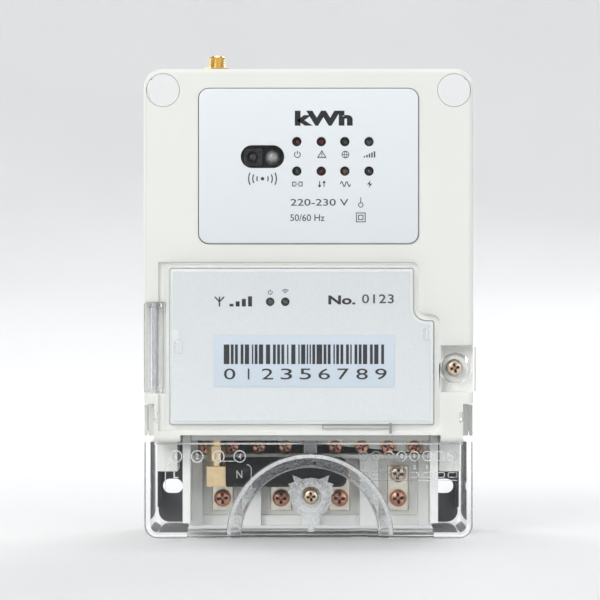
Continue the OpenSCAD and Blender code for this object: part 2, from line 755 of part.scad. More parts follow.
module terminal_cover() {
    inner_x = half_w - clear_t;
    inner_d = clear_d1 - clear_t;
    color([0.85, 0.88, 0.9, 0.35]) in_case() difference() {
        union() {
            difference() {
                translate([0, -clear_d0, clear_z1]) mirror([0, 0, 1])
                    half_panel(case_w, clear_z1, clear_d1 - clear_d0, 4.5, 1.5);
                facing(clear_d0 - 1, inner_d) polygon(round_rect(-inner_x, inner_x, clear_t, clear_z1 + 9, 2.5));
            }
            // back of the arched recess
            intersection() {
                turned(arch_x, arch_z, [[0, arch_d - clear_t], [arch_r0 + clear_t, arch_d - clear_t],
                    [arch_r1 + clear_t, inner_d + 1], [0, inner_d + 1]]);
                box(-40, 40, 0, clear_z1, 40, clear_d1 - 0.5);
            }
            // lip under the main cover, and arms beside it with their studs
            box(way_x0 + 0.3, way_x1 - 0.3, clear_z1 - 1, 34.9, 45.4, clear_d1);
            for (s = [0, 1]) mirror([s, 0, 0]) {
                box(arm_x, half_w, clear_z1, 45.6, arm_d, 49);
                box(inner_x, half_w, clear_z1 - 1, 35.3, clear_d0, 49);
                translate([arm_x - 1.4, -44, 41.5]) rotate([0, 90, 0]) cylinder(r = 1.5, h = 2);
            }
            // post that meets the tamper plunger
            rod(block_mid, plunger_z, 30.8, inner_d + 1, 1.8);
        }
        turned(arch_x, arch_z, [[0, arch_d], [arch_r0, arch_d], [arch_r1 + 0.7, clear_d1 + 1], [0, clear_d1 + 1]]);
        // way in for the cables
        box(block_x0, block_x1, -1, clear_t + 1, clear_d0 - 1, cable_way_d);
        rod(seal_x, seal_z, arch_d - 3, arch_d + 1, 1.7);
        box(15, 20.4, -1, 2.6, arch_d - 3, arch_d + 1);
    }
    // boss, cup and web of the seal screw
    color([0.85, 0.88, 0.9, 0.35]) in_case() difference() {
        union() {
            facing(arch_d, arch_d + 1.7) leaf();
            rod(seal_x, seal_z, arch_d, arch_d + 3, 5.6);
        }
        rod(seal_x, seal_z, arch_d - 1, arch_d + 4, 3.6);
    }
}

module terminal_seal_screw() {
    color([0.62, 0.4, 0.32]) in_case() cross_screw(seal_x, seal_z, 44.6, 25.5, 2.6, 2.2, 1.5);
}

module terminal_seal_ring() {
    color([0.15, 0.15, 0.15]) in_case()
        turned(seal_x, seal_z, [[1.54, 36.6], [2.1, 36.6], [2.1, 37.4], [1.54, 37.4]]);
}

// ---- antenna and jacks ----

module bay_coax_jack() {
    color([0.85, 0.7, 0.4]) in_case() {
        turned_up(coax_x, coax_d, [[0, 28], [2.2, 28], [2.2, 34.1], [3.4, 34.1], [3.4, 35.4], [3, 35.4],
            [3, 41], [1.5, 41], [1.5, 43], [0, 43]]);
    }
}

module antenna_nut() {
    color([0.87, 0.74, 0.48]) in_case() difference() {
        post(coax_x, coax_d, 25.7, 30.9, 3.3, 6);
        post(coax_x, coax_d, 27.9, 32, 2.25);
        post(coax_x, coax_d, 25, 29, 2.05);
    }
}

module antenna_elbow() {
    mid = (elbow_x0 + elbow_x1) / 2;
    color([0.87, 0.77, 0.6]) in_case() {
        box(elbow_x0, elbow_x1, 17, 24, coax_d - 3.3, coax_d + 3.3);
        post(mid, coax_d, 24, 27.9, 2);
    }
}

module antenna_rod() {
    color([0.05, 0.05, 0.06]) in_case() translate([elbow_x1, -coax_d, rod_z]) rotate([0, 90, 0]) rotate_extrude()
        polygon(concat([[0, 0], [rod_r - 0.4, 0], [rod_r, 0.5]],
            arc(rod_r - 2.6, rod_x1 - elbow_x1 - 2.6, 2.6, 0, 90), [[0, rod_x1 - elbow_x1]]));
}

module top_coax_jack() {
    color([0.85, 0.66, 0.3]) in_case() difference() {
        turned_up(coax_x, top_coax_d, [[0, case_h - 8], [4.6, case_h - 8], [4.6, case_h - wall],
            [jack_neck_r, case_h - wall], [jack_neck_r, jack_nut_z1], [2.9, jack_nut_z1], [2.9, case_h + 6],
            [2.5, case_h + 6.4], [0, case_h + 6.4]]);
        post(coax_x, top_coax_d, case_h + 1, case_h + 7, 2.1);
    }
}

module top_jack_nuts() {
    color([0.83, 0.68, 0.38]) in_case() difference() {
        union() {
            post(coax_x, top_coax_d, case_h, case_h + 0.6, 4.2);
            post(coax_x, top_coax_d, case_h + 0.6, jack_nut_z1, 4.4, 6);
        }
        post(coax_x, top_coax_d, case_h - 1, case_h + 3, jack_neck_r + 0.05);
    }
}

base_shell();
base_gasket();
main_cover();
screw_plugs();
case_screws();
nameplate_window();
nameplate_panel();
display_board();
board_spacers();
leds_red();
leds_green();
leds_amber();
leds_clear();
ir_receiver();
ir_emitter();
power_board();
board_screws();
power_relay();
line_busbar();
current_shunt();
load_busbar();
neutral_busbar();
bulk_capacitors();
surge_varistor();
backup_battery();
power_transformer();
metering_chips();
module_socket();
module_housing();
module_back();
module_board();
module_modem();
sim_holder();
module_leds();
module_header();
module_label();
barcode_label();
module_cover();
door_hinge_pin();
module_seal_screw();
module_seal_ring();
module_screw_insert();
terminal_block();
main_terminals();
main_terminal_screws();
aux_terminals();
aux_terminal_screws();
terminal_screw_insert();
tamper_switch();
tamper_plunger();
terminal_cover();
terminal_seal_screw();
terminal_seal_ring();
bay_coax_jack();
antenna_nut();
antenna_elbow();
antenna_rod();
top_coax_jack();
top_jack_nuts();
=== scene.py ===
"""Looks of a prepaid electricity meter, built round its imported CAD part.

Lengths are in millimetres where a name or a comment says so, and in metres elsewhere.
Drawings on a face use u to the right and v up, in millimetres.
"""
import json
import math
import random

import bmesh
import bpy
from mathutils import Matrix, Vector


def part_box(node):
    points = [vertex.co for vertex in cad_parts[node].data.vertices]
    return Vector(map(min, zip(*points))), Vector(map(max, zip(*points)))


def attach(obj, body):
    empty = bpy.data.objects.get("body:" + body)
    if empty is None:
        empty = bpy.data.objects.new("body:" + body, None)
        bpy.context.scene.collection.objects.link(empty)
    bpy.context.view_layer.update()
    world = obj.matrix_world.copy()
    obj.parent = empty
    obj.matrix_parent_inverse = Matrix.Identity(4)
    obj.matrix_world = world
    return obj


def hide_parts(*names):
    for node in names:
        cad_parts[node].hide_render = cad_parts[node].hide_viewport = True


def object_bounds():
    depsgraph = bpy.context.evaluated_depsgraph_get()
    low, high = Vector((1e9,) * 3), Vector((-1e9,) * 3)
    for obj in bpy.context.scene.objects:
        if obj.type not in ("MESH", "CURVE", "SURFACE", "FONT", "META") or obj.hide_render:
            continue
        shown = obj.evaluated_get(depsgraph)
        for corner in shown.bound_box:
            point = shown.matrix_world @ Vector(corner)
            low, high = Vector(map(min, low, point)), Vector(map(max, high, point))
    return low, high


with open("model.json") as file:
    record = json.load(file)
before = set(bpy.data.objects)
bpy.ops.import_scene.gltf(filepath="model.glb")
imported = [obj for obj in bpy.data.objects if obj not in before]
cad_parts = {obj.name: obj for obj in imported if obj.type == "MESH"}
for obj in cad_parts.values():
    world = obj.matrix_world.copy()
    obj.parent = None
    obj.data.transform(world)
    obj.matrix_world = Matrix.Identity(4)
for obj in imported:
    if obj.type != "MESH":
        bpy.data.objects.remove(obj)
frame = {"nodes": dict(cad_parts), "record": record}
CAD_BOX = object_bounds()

MM = 0.001
NODES = frame["nodes"]
scene = bpy.context.scene
rng = random.Random(20)


# ---- places in the frame ----

def solids_of(node):
    """(lowest corner, highest corner) of each loose solid of a CAD node, top row first, left to right."""
    shape = bmesh.new()
    shape.from_mesh(NODES[node].data)
    bmesh.ops.remove_doubles(shape, verts=shape.verts, dist=1e-6)
    unseen = set(shape.verts)
    found = []
    while unseen:
        stack = [unseen.pop()]
        corners = [stack[0].co.copy()]
        while stack:
            for edge in stack.pop().link_edges:
                for vert in edge.verts:
                    if vert in unseen:
                        unseen.remove(vert)
                        stack.append(vert)
                        corners.append(vert.co.copy())
        low = Vector([min(c[i] for c in corners) for i in range(3)])
        high = Vector([max(c[i] for c in corners) for i in range(3)])
        found.append((low, high))
    shape.free()
    return sorted(found, key=lambda b: (-round((b[0].z + b[1].z) / MM / 4), b[0].x))


def middle(box):
    return (box[0] + box[1]) / 2


def front_point(box):
    """The middle of a box's front face."""
    centre = middle(box)
    return Vector((centre.x, box[0].y, centre.z))


# ---- materials ----

def linear(red, green, blue):
    """A linear colour from 8-bit display values."""
    def one(value):
        value /= 255
        return value / 12.92 if value <= 0.04045 else ((value + 0.055) / 1.055) ** 2.4
    return (one(red), one(green), one(blue), 1.0)


class Graph:
    """A material's node tree, with short calls for the nodes used here."""

    def __init__(self, name):
        self.material = bpy.data.materials.new(name)
        self.material.use_nodes = True
        self.tree = self.material.node_tree
        self.tree.nodes.clear()
        self.place = self.add("TexCoord").outputs["Object"]

    def add(self, kind, sockets=None, **settings):
        made = self.tree.nodes.new("ShaderNode" + kind)
        for key, value in settings.items():
            setattr(made, key, value)
        for key, value in (sockets or {}).items():
            if isinstance(value, bpy.types.NodeSocket):
                self.tree.links.new(value, made.inputs[key])
            else:
                made.inputs[key].default_value = value
        return made

    def stretched(self, scale):
        return self.add("Mapping", {"Vector": self.place, "Scale": scale}).outputs[0]

    def noise(self, scale, detail=3.0, roughness=0.55, vector=None):
        sockets = {"Vector": vector or self.place, "Scale": scale, "Detail": detail, "Roughness": roughness}
        return self.add("TexNoise", sockets).outputs["Fac"]

    def spread(self, value, low, high, start=0.3, end=0.7):
        sockets = {"Value": value, "From Min": start, "From Max": end, "To Min": low, "To Max": high}
        return self.add("MapRange", sockets).outputs[0]

    def sum(self, first, second):
        return self.add("Math", {0: first, 1: second}, operation="ADD").outputs[0]

    def blend(self, factor, first, second):
        return self.add("Mix", {0: factor, 6: first, 7: second}, data_type="RGBA").outputs[2]

    def bump(self, height, strength, distance_mm, normal=None):
        sockets = {"Height": height, "Strength": strength, "Distance": distance_mm * MM}
        if normal:
            sockets["Normal"] = normal
        return self.add("Bump", sockets).outputs[0]

    def finish(self, shader):
        out = self.add("OutputMaterial")
        self.tree.links.new(shader, out.inputs["Surface"])
        return self.material


def shade(colour, factor):
    """The same colour, lighter or darker."""
    return tuple(min(1.0, c * factor) for c in colour[:3]) + (1.0,)


def plastic(name, colour, rough, grain_mm=0.35, relief=0.25, tone=0.05, gloss=0.5):
    """Moulded plastic: slow changes of tone, a fine spark grain, faint rubbed patches."""
    g = Graph(name)
    cloud = g.noise(28, 4)
    speck = g.noise(1000 / grain_mm, 2, 0.7)
    rubbed = g.noise(150, 5, 0.65)
    base = g.blend(g.spread(cloud, 0, 1), shade(colour, 1 - tone), shade(colour, 1 + tone * 0.6))
    base = g.blend(g.spread(speck, 0, 0.16, 0.5, 0.8), base, shade(colour, 0.86))
    roughness = g.sum(g.spread(rubbed, rough - 0.06, rough + 0.05), g.spread(speck, -0.03, 0.03))
    wave = g.bump(cloud, 0.08, 0.4)
    normal = g.bump(speck, relief, 0.04, wave)
    shader = g.add("BsdfPrincipled", {"Base Color": base, "Roughness": roughness, "Normal": normal})
    shader.inputs["Specular IOR Level"].default_value = gloss
    return g.finish(shader.outputs[0])


def metal(name, colour, rough, stretch=(1, 1, 1), tarnish=0.25, scratch=0.3, dark=None, shade_reach_mm=0.0):
    """Plated or rolled metal: fine drawn lines along the direction that stretch leaves short, and tarnish;
    with a reach for ambient occlusion, also painted shade that darkens hollows and the rim where a head meets
    its seat.
    """
    g = Graph(name)
    lines = g.noise(2600, 3, 0.6, g.stretched(stretch))
    patches = g.noise(420, 5, 0.65)
    old = g.spread(patches, 0, tarnish, 0.42, 0.75)
    base = g.blend(old, colour, dark or shade(colour, 0.45))
    base = g.blend(g.spread(lines, 0, 0.3), base, shade(colour, 1.25))
    # painted shade: ambient occlusion darkens cross recesses and the rim round a screw head towards the dark
    # colour
    if shade_reach_mm:
        painted_shade_ao = g.add("AmbientOcclusion", {"Distance": shade_reach_mm * MM}).outputs["AO"]
        base = g.blend(g.spread(painted_shade_ao, 1, 0, 0.35, 0.9), base, dark)
    roughness = g.sum(g.spread(lines, rough - 0.08, rough + 0.1), g.spread(patches, -0.03, 0.08))
    normal = g.bump(lines, scratch, 0.02, g.bump(patches, 0.12, 0.08))
    sockets = {"Base Color": base, "Metallic": 1.0, "Roughness": roughness, "Normal": normal}
    shader = g.add("BsdfPrincipled", sockets)
    return g.finish(shader.outputs[0])


# lower than real polycarbonate, so that edges stay as light as those of the real cover look
CLEAR_IOR = 1.29


def clear(name, tint, rough=0.03, cast=0.98, ripple=0.05):
    """Clear moulded plastic that lets light through to what lies behind it."""
    g = Graph(name)
    flow = g.noise(60, 3, 0.5, g.stretched((1, 1, 0.4)))
    fine = g.noise(900, 2)
    normal = g.bump(fine, 0.02, 0.02, g.bump(flow, ripple, 0.3))
    body = g.add("BsdfPrincipled", {"Base Color": tint, "Roughness": rough, "Normal": normal})
    body.inputs["Transmission Weight"].default_value = 1.0
    body.inputs["IOR"].default_value = CLEAR_IOR
    open_way = g.add("BsdfTransparent", {"Color": (cast, cast * 1.005, cast * 1.01, 1)})
    ray = g.add("LightPath").outputs["Is Shadow Ray"]
    mixed = g.add("MixShader", {0: ray, 1: body.outputs[0], 2: open_way.outputs[0]})
    return g.finish(mixed.outputs[0])


def frosted(name, tint, cover, rough=0.45):
    """Matt textured clear plastic: partly a pale diffuse skin, partly see-through."""
    g = Graph(name)
    speck = g.noise(1000, 4, 0.75)
    normal = g.bump(speck, 0.5, 0.05)
    base = g.blend(g.spread(speck, 0, 1), tint, shade(tint, 0.9))
    skin = g.add("BsdfPrincipled", {"Base Color": base, "Roughness": rough, "Normal": normal})
    through = g.add("BsdfTransparent", {"Color": (0.96, 0.97, 0.98, 1)})
    share = g.spread(speck, cover - 0.22, cover + 0.22)
    mixed = g.add("MixShader", {0: share, 1: through.outputs[0], 2: skin.outputs[0]})
    return g.finish(mixed.outputs[0])


def epoxy(name, colour, glow=0.12):
    """A lamp's tinted epoxy: a glossy skin over an uneven darker core."""
    g = Graph(name)
    core = g.noise(700, 2)
    base = g.blend(g.spread(core, 0, 0.5), colour, shade(colour, 0.5))
    shader = g.add("BsdfPrincipled", {"Base Color": base, "Roughness": 0.16})
    shader.inputs["Transmission Weight"].default_value = glow
    shader.inputs["IOR"].default_value = 1.54
    shader.inputs["Coat Weight"].default_value = 0.5
    return g.finish(shader.outputs[0])


def film(name, colour, low_colour, height, rough=0.32):
    """A printed sheet with the tooth of the ink, and painted light: its colour runs from colour at its top to
    low_colour at its bottom, standing in for how the light falls over it.
    """
    g = Graph(name)
    up = g.add("SeparateXYZ", {0: g.place}).outputs[2]
    # painted light: a top-to-bottom gradient of the colour, standing in for how the light falls over the
    # sheet
    light_fall = g.spread(up, 0, 1, height[1], height[0])
    fibre = g.noise(3000, 2, 0.6)
    cloud = g.noise(45, 4)
    base = g.blend(light_fall, colour, low_colour)
    base = g.blend(g.spread(fibre, 0, 0.08), base, shade(colour, 0.8))
    base = g.blend(g.spread(cloud, 0, 0.07), base, shade(colour, 1.08))
    roughness = g.spread(fibre, rough - 0.05, rough + 0.07)
    normal = g.bump(fibre, 0.08, 0.01, g.bump(cloud, 0.05, 0.25))
    shader = g.add("BsdfPrincipled", {"Base Color": base, "Roughness": roughness, "Normal": normal})
    shader.inputs["Coat Weight"].default_value = 0.15
    shader.inputs["Coat Roughness"].default_value = 0.2
    return g.finish(shader.outputs[0])


def circuit(name, colour, track):
    """Solder mask over copper: a grid of tracks and the weave of the laminate."""
    g = Graph(name)
    brick = g.add("TexBrick", {"Vector": g.place, "Scale": 260.0, "Mortar Size": 0.06}).outputs["Fac"]
    weave = g.noise(1800, 2)
    base = g.blend(g.spread(brick, 0, 0.6, 0, 1), colour, track)
    base = g.blend(g.spread(weave, 0, 0.2), base, shade(colour, 1.5))
    sockets = {"Base Color": base, "Roughness": 0.34, "Normal": g.bump(brick, 0.2, 0.03)}
    shader = g.add("BsdfPrincipled", sockets)
    return g.finish(shader.outputs[0])


# the heights between which a sheet's painted light gradient runs
def light_fall_span(node):
    low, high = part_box(node)
    return low.z, high.z


DARK_BROWN = (0.08, 0.03, 0.02, 1)
# how far the painted shade in the screws' hollows reaches
SCREW_SHADE_REACH_MM = 1.2
MATERIALS = {
    "charcoal_plastic": plastic("charcoal_moulding", linear(72, 72, 76), 0.55, relief=0.4),
    "gasket_rubber": plastic("gasket_rubber_skin", linear(52, 52, 52), 0.8, relief=0.5),
    "cover_plastic": plastic("off_white_moulding", linear(240, 241, 236), 0.42, tone=0.012),
    "plug_plastic": plastic("plug_moulding", linear(240, 240, 240), 0.36, tone=0.012, grain_mm=0.5),
    "clear_polycarbonate": clear("clear_moulding", (0.992, 0.994, 0.997, 1)),
    "nameplate_print": film("nameplate_sheet", linear(240, 245, 248), linear(228, 233, 236),
                            light_fall_span("nameplate_panel")),
    "label_film": film("module_sheet", linear(214, 218, 220), linear(223, 227, 229),
                       light_fall_span("module_label"), 0.26),
    "barcode_film": film("barcode_sheet", linear(208, 219, 229), linear(204, 215, 225),
                         light_fall_span("barcode_label"), 0.22),
    "circuit_board": circuit("solder_mask", (0.015, 0.11, 0.055, 1), (0.05, 0.24, 0.12, 1)),
    "black_plastic": plastic("black_moulding", (0.014, 0.014, 0.015, 1), 0.5, relief=0.12),
    "module_plastic": plastic("module_moulding", linear(226, 229, 229), 0.42, tone=0.02),
    "red_led": epoxy("red_epoxy", (0.16, 0.012, 0.018, 1)),
    "green_led": epoxy("green_epoxy", (0.045, 0.09, 0.065, 1)),
    "amber_led": epoxy("amber_epoxy", (0.24, 0.12, 0.06, 1)),
    "clear_led": epoxy("clear_epoxy", (0.2, 0.18, 0.2, 1), 0.4),
    "ir_black": epoxy("infrared_epoxy", (0.012, 0.009, 0.014, 1), 0.0),
    "zinc_steel": metal("zinc_plate", (0.62, 0.63, 0.65, 1), 0.28, (1, 1, 6)),
    "nickel_steel": metal("nickel_plate", (0.78, 0.64, 0.49, 1), 0.26, (5, 1, 5), 0.4,
                          dark=DARK_BROWN, shade_reach_mm=SCREW_SHADE_REACH_MM),
    "copper_screw": metal("copper_plate", (0.72, 0.36, 0.25, 1), 0.28, (5, 1, 5), 0.6,
                          dark=DARK_BROWN, shade_reach_mm=SCREW_SHADE_REACH_MM),
    "tinned_brass": metal("tin_plate", (0.86, 0.80, 0.68, 1), 0.3, (1, 1, 9), 0.3,
                          dark=(0.35, 0.25, 0.15, 1)),
    "bare_brass": metal("brushed_brass", (0.86, 0.66, 0.40, 1), 0.3, (1, 1, 12), 0.25,
                        dark=(0.3, 0.17, 0.06, 1)),
    "gold_plate": metal("gilt", (0.86, 0.62, 0.26, 1), 0.22, (6, 6, 1), 0.3, dark=(0.3, 0.15, 0.04, 1)),
    "copper_bar": metal("rolled_copper", (0.78, 0.40, 0.24, 1), 0.32, (8, 1, 1), 0.35),
    "block_plastic": plastic("terminal_moulding", linear(240, 242, 239), 0.5, tone=0.05, relief=0.35),
    "antenna_rubber": plastic("antenna_moulding", (0.006, 0.006, 0.007, 1), 0.45, grain_mm=0.8,
                              relief=0.15, gloss=0.2),
    "blue_epoxy": plastic("blue_dip", (0.03, 0.09, 0.33, 1), 0.3, grain_mm=0.8),
    "battery_sleeve": film("battery_wrap", (0.12, 0.38, 0.18, 1), (0.10, 0.33, 0.16, 1),
                           light_fall_span("backup_battery")),
    "coil_tape": plastic("yellow_tape", (0.72, 0.52, 0.08, 1), 0.4, grain_mm=1.0),
}
FROST = frosted("frosted_moulding", linear(252, 253, 254), 0.36)
# a pale skin, used only as painted sheen on the ramp of the terminal cover's arch
ARCH_PAINTED_SHEEN = frosted("arch_painted_sheen_moulding", linear(252, 253, 254), 0.14)
# pale frosted moulding: the raised marks, and also painted highlight lines along the edges of the arch
EMBOSS_AND_HIGHLIGHT = frosted("embossed_and_highlight_moulding", linear(250, 251, 253), 0.62, 0.3)
INK = plastic("screen_ink", (0.018, 0.018, 0.02, 1), 0.38, grain_mm=0.15, relief=0.1, tone=0.15)
# the emitter's clear lens, with a pale colour as painted reflection of the bright reflector cup behind it
CLEAR_EMITTER_PAINTED_REFLECTION = epoxy("clear_emitter_painted_reflection", (0.80, 0.84, 0.82, 1), 0.5)
# grey, used as painted shadow along the seam of the module cover
SEAM_PAINTED_SHADOW = plastic("seam_shadow", linear(150, 151, 150), 0.5, grain_mm=0.3)
GREY_INK = plastic("grey_ink", (0.06, 0.06, 0.065, 1), 0.4, grain_mm=0.15, relief=0.1, tone=0.15)


# ---- CAD nodes: finishes and rounded edges ----

EDGE_MM = {"main_cover": 0.3, "base_shell": 0.0, "module_cover": 0.3, "terminal_cover": 0.18,
           "nameplate_window": 0.22, "terminal_block": 0.2, "screw_plugs": 0.2, "module_housing": 0.2}
FINE_EDGE_MM = 0.1
# without the clamp, the corners of these two reach past the CAD box
CLAMPED_NODES = ("main_cover", "terminal_cover")
EDGE_ANGLE = math.radians(38)
FLAT_ANGLE = math.radians(0.6)
WELD_MM = 0.002


def dress(node, slot_name):
    """Puts a slot's finish on a CAD node, and rounds its moulded or machined edges."""
    target = NODES[node]
    target.data.materials.clear()
    target.data.materials.append(MATERIALS[slot_name])
    target.data.polygons.foreach_set("use_smooth", [True] * len(target.data.polygons))
    weld = target.modifiers.new("weld", "WELD")
    weld.merge_threshold = WELD_MM * MM
    flat = target.modifiers.new("flat_faces", "DECIMATE")
    flat.decimate_type = "DISSOLVE"
    flat.angle_limit = FLAT_ANGLE
    width = EDGE_MM.get(node, FINE_EDGE_MM) * MM
    if width:
        bevel = target.modifiers.new("edges", "BEVEL")
        bevel.width = width
        bevel.segments = 2
        bevel.limit_method = "ANGLE"
        bevel.angle_limit = EDGE_ANGLE
        bevel.use_clamp_overlap = node in CLAMPED_NODES
    target.modifiers.new("normals", "WEIGHTED_NORMAL").keep_sharp = True


for part in frame["record"]["subparts"]:
    dress(part["node"], part["material_slot"])
# the emitter takes the clear lens with the painted reflection
NODES["ir_emitter"].data.materials[0] = CLEAR_EMITTER_PAINTED_REFLECTION


# ---- building pieces ----

def place(name, mesh, body, material):
    """A new flat-shaded piece from a finished mesh, riding on a body."""
    made = bpy.data.objects.new(name, mesh)
    scene.collection.objects.link(made)
    mesh.materials.clear()
    mesh.materials.append(material)
    mesh.polygons.foreach_set("use_smooth", [False] * len(mesh.polygons))
    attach(made, body)
    return made


def thicken(made, thickness_mm, offset):
    solid = made.modifiers.new("thickness", "SOLIDIFY")
    solid.thickness = thickness_mm * MM
    solid.offset = offset


def mesh_of(shape, name):
    """The mesh of a finished bmesh, which is freed."""
    mesh = bpy.data.meshes.new(name)
    shape.to_mesh(mesh)
    shape.free()
    return mesh


def circle(u, v, radius, steps):
    """Points round u, v."""
    turn = 2 * math.pi / steps
    return [(u + radius * math.cos(i * turn), v + radius * math.sin(i * turn)) for i in range(steps)]


def smooth_by_angle(made, degrees=40):
    """Splits the shading at sharp edges."""
    mesh = made.data
    shape = bmesh.new()
    shape.from_mesh(mesh)
    limit = math.radians(degrees)
    for edge in shape.edges:
        edge.smooth = len(edge.link_faces) == 2 and edge.calc_face_angle(0) < limit
    for face in shape.faces:
        face.smooth = True
    shape.to_mesh(mesh)
    shape.free()


class Drawing:
    """Flat shapes in u and v millimetres, which become one thin raised print or moulding."""

    def __init__(self):
        self.faces = []

    def polygon(self, points):
        self.faces.append([tuple(p) for p in points])

    def rect(self, u0, v0, u1, v1):
        self.polygon([(u0, v0), (u1, v0), (u1, v1), (u0, v1)])

    def disc(self, u, v, radius, steps=28):
        self.polygon(circle(u, v, radius, steps))

    def stroke(self, points, width, closed=False):
        """A line of even width through the points."""
        count = len(points)
        sides = []
        for i, p in enumerate(points):
            before = Vector(points[i - 1]) if i or closed else None
            after = Vector(points[(i + 1) % count]) if i < count - 1 or closed else None
            here = Vector(p)
            ahead = (after - here).normalized() if after else (here - before).normalized()
            behind = (here - before).normalized() if before else ahead
            along = (ahead + behind).normalized() if (ahead + behind).length > 1e-6 else ahead
            across = Vector((-along.y, along.x))
            reach = width / 2 / max(0.35, across.dot(Vector((-ahead.y, ahead.x))))
            sides.append((here + across * reach, here - across * reach))
        for i in range(count if closed else count - 1):
            a, b = sides[i], sides[(i + 1) % count]
            self.polygon([a[1], b[1], b[0], a[0]])

    def arc(self, u, v, radius, start, end, width, steps=16):
        """Part of a ring, from one angle to another in degrees."""
        turn = math.radians(end - start) / steps
        first = math.radians(start)
        points = [(u + radius * math.cos(first + i * turn), v + radius * math.sin(first + i * turn))
                  for i in range(steps + 1)]
        self.stroke(points, width)

    def ring(self, u, v, radius, width, steps=32):
        self.stroke(circle(u, v, radius, steps), width, closed=True)

    def letters(self, words, u, v, width, height, weight=0.0, spacing=1.0):
        """Words fitted to a box with its middle at u, v."""
        curve = bpy.data.curves.new("letters", "FONT")
        curve.body = words
        curve.offset = weight
        curve.space_character = spacing
        curve.resolution_u = 4
        holder = bpy.data.objects.new("letters", curve)
        scene.collection.objects.link(holder)
        ready = holder.evaluated_get(bpy.context.evaluated_depsgraph_get())
        flat = bpy.data.meshes.new_from_object(ready)
        xs = [p.co.x for p in flat.vertices]
        ys = [p.co.y for p in flat.vertices]
        wide = width / (max(xs) - min(xs))
        tall = height / (max(ys) - min(ys))
        mid_x, mid_y = (max(xs) + min(xs)) / 2, (max(ys) + min(ys)) / 2
        for face in flat.polygons:
            corners = [flat.vertices[i].co for i in face.vertices]
            self.polygon([(u + (c.x - mid_x) * wide, v + (c.y - mid_y) * tall) for c in corners])
        bpy.data.objects.remove(holder)
        bpy.data.curves.remove(curve)
        bpy.data.meshes.remove(flat)

    def raise_on(self, name, origin, thick_mm, body, material, sink_mm=0.01):
        """Makes the piece: origin is the point of u 0, v 0 on a face that looks along -Y."""
        shape = bmesh.new()
        for points in self.faces:
            corners = [shape.verts.new((origin.x + p[0] * MM, origin.y + sink_mm * MM, origin.z + p[1] * MM))
                       for p in points]
            shape.faces.new(corners)
        bmesh.ops.remove_doubles(shape, verts=shape.verts, dist=1e-7)
        bmesh.ops.recalc_face_normals(shape, faces=shape.faces)
        wrong = [f for f in shape.faces if f.normal.y > 0]
        bmesh.ops.reverse_faces(shape, faces=wrong)
        made = place(name, mesh_of(shape, name), body, material)
        thicken(made, thick_mm + sink_mm, 1.0)


def lathe(profile, steps=48, thread=None):
    """A turned mesh in mm about local Z, from (radius, height) points. thread is (from, to, pitch, depth)."""
    shape = bmesh.new()
    rings = []
    for radius, height in profile:
        ring = []
        for i in range(steps):
            angle = 2 * math.pi * i / steps
            out = radius
            if thread and thread[0] <= height <= thread[1]:
                phase = (height / thread[2] - i / steps) % 1.0
                out = radius - thread[3] * (1 - abs(2 * phase - 1))
            ring.append(shape.verts.new((out * math.cos(angle), out * math.sin(angle), height)))
        rings.append(ring)
    for low, high in zip(rings, rings[1:]):
        for i in range(steps):
            j = (i + 1) % steps
            shape.faces.new([low[i], low[j], high[j], high[i]])
    shape.faces.new(list(reversed(rings[0])))
    shape.faces.new(rings[-1])
    return mesh_of(shape, "turned")


def cut(mesh, cutters):
    """The mesh, in mm, with each cutter's shape taken out of it."""
    body = bpy.data.objects.new("body", mesh)
    tools = [bpy.data.objects.new("tool", cutter) for cutter in cutters]
    for each in [body] + tools:
        scene.collection.objects.link(each)
    for tool in tools:
        boolean = body.modifiers.new("cut", "BOOLEAN")
        boolean.object = tool
        boolean.operation = "DIFFERENCE"
        boolean.solver = "EXACT"
    result = bpy.data.meshes.new_from_object(body.evaluated_get(bpy.context.evaluated_depsgraph_get()))
    for each in [body] + tools:
        bpy.data.objects.remove(each)
    return result


def wedge(length, thick, top, deep, taper, turn):
    """A tapered bar in mm that cuts down from top, turned about Z by an angle in degrees."""
    shape = bmesh.new()
    corners = []
    for height, share in ((top + 0.6, 1.0), (top - deep, taper)):
        for sx, sy in ((-1, -1), (1, -1), (1, 1), (-1, 1)):
            corners.append(shape.verts.new((sx * length * share, sy * thick / 2 * (share + 1) / 2, height)))
    for face in ((0, 1, 2, 3), (7, 6, 5, 4), (0, 4, 5, 1), (1, 5, 6, 2), (2, 6, 7, 3), (3, 7, 4, 0)):
        shape.faces.new([corners[i] for i in face])
    about_z = Matrix.Rotation(math.radians(turn), 3, "Z")
    bmesh.ops.rotate(shape, verts=corners, cent=(0, 0, 0), matrix=about_z)
    bmesh.ops.recalc_face_normals(shape, faces=shape.faces)
    return mesh_of(shape, "wedge")


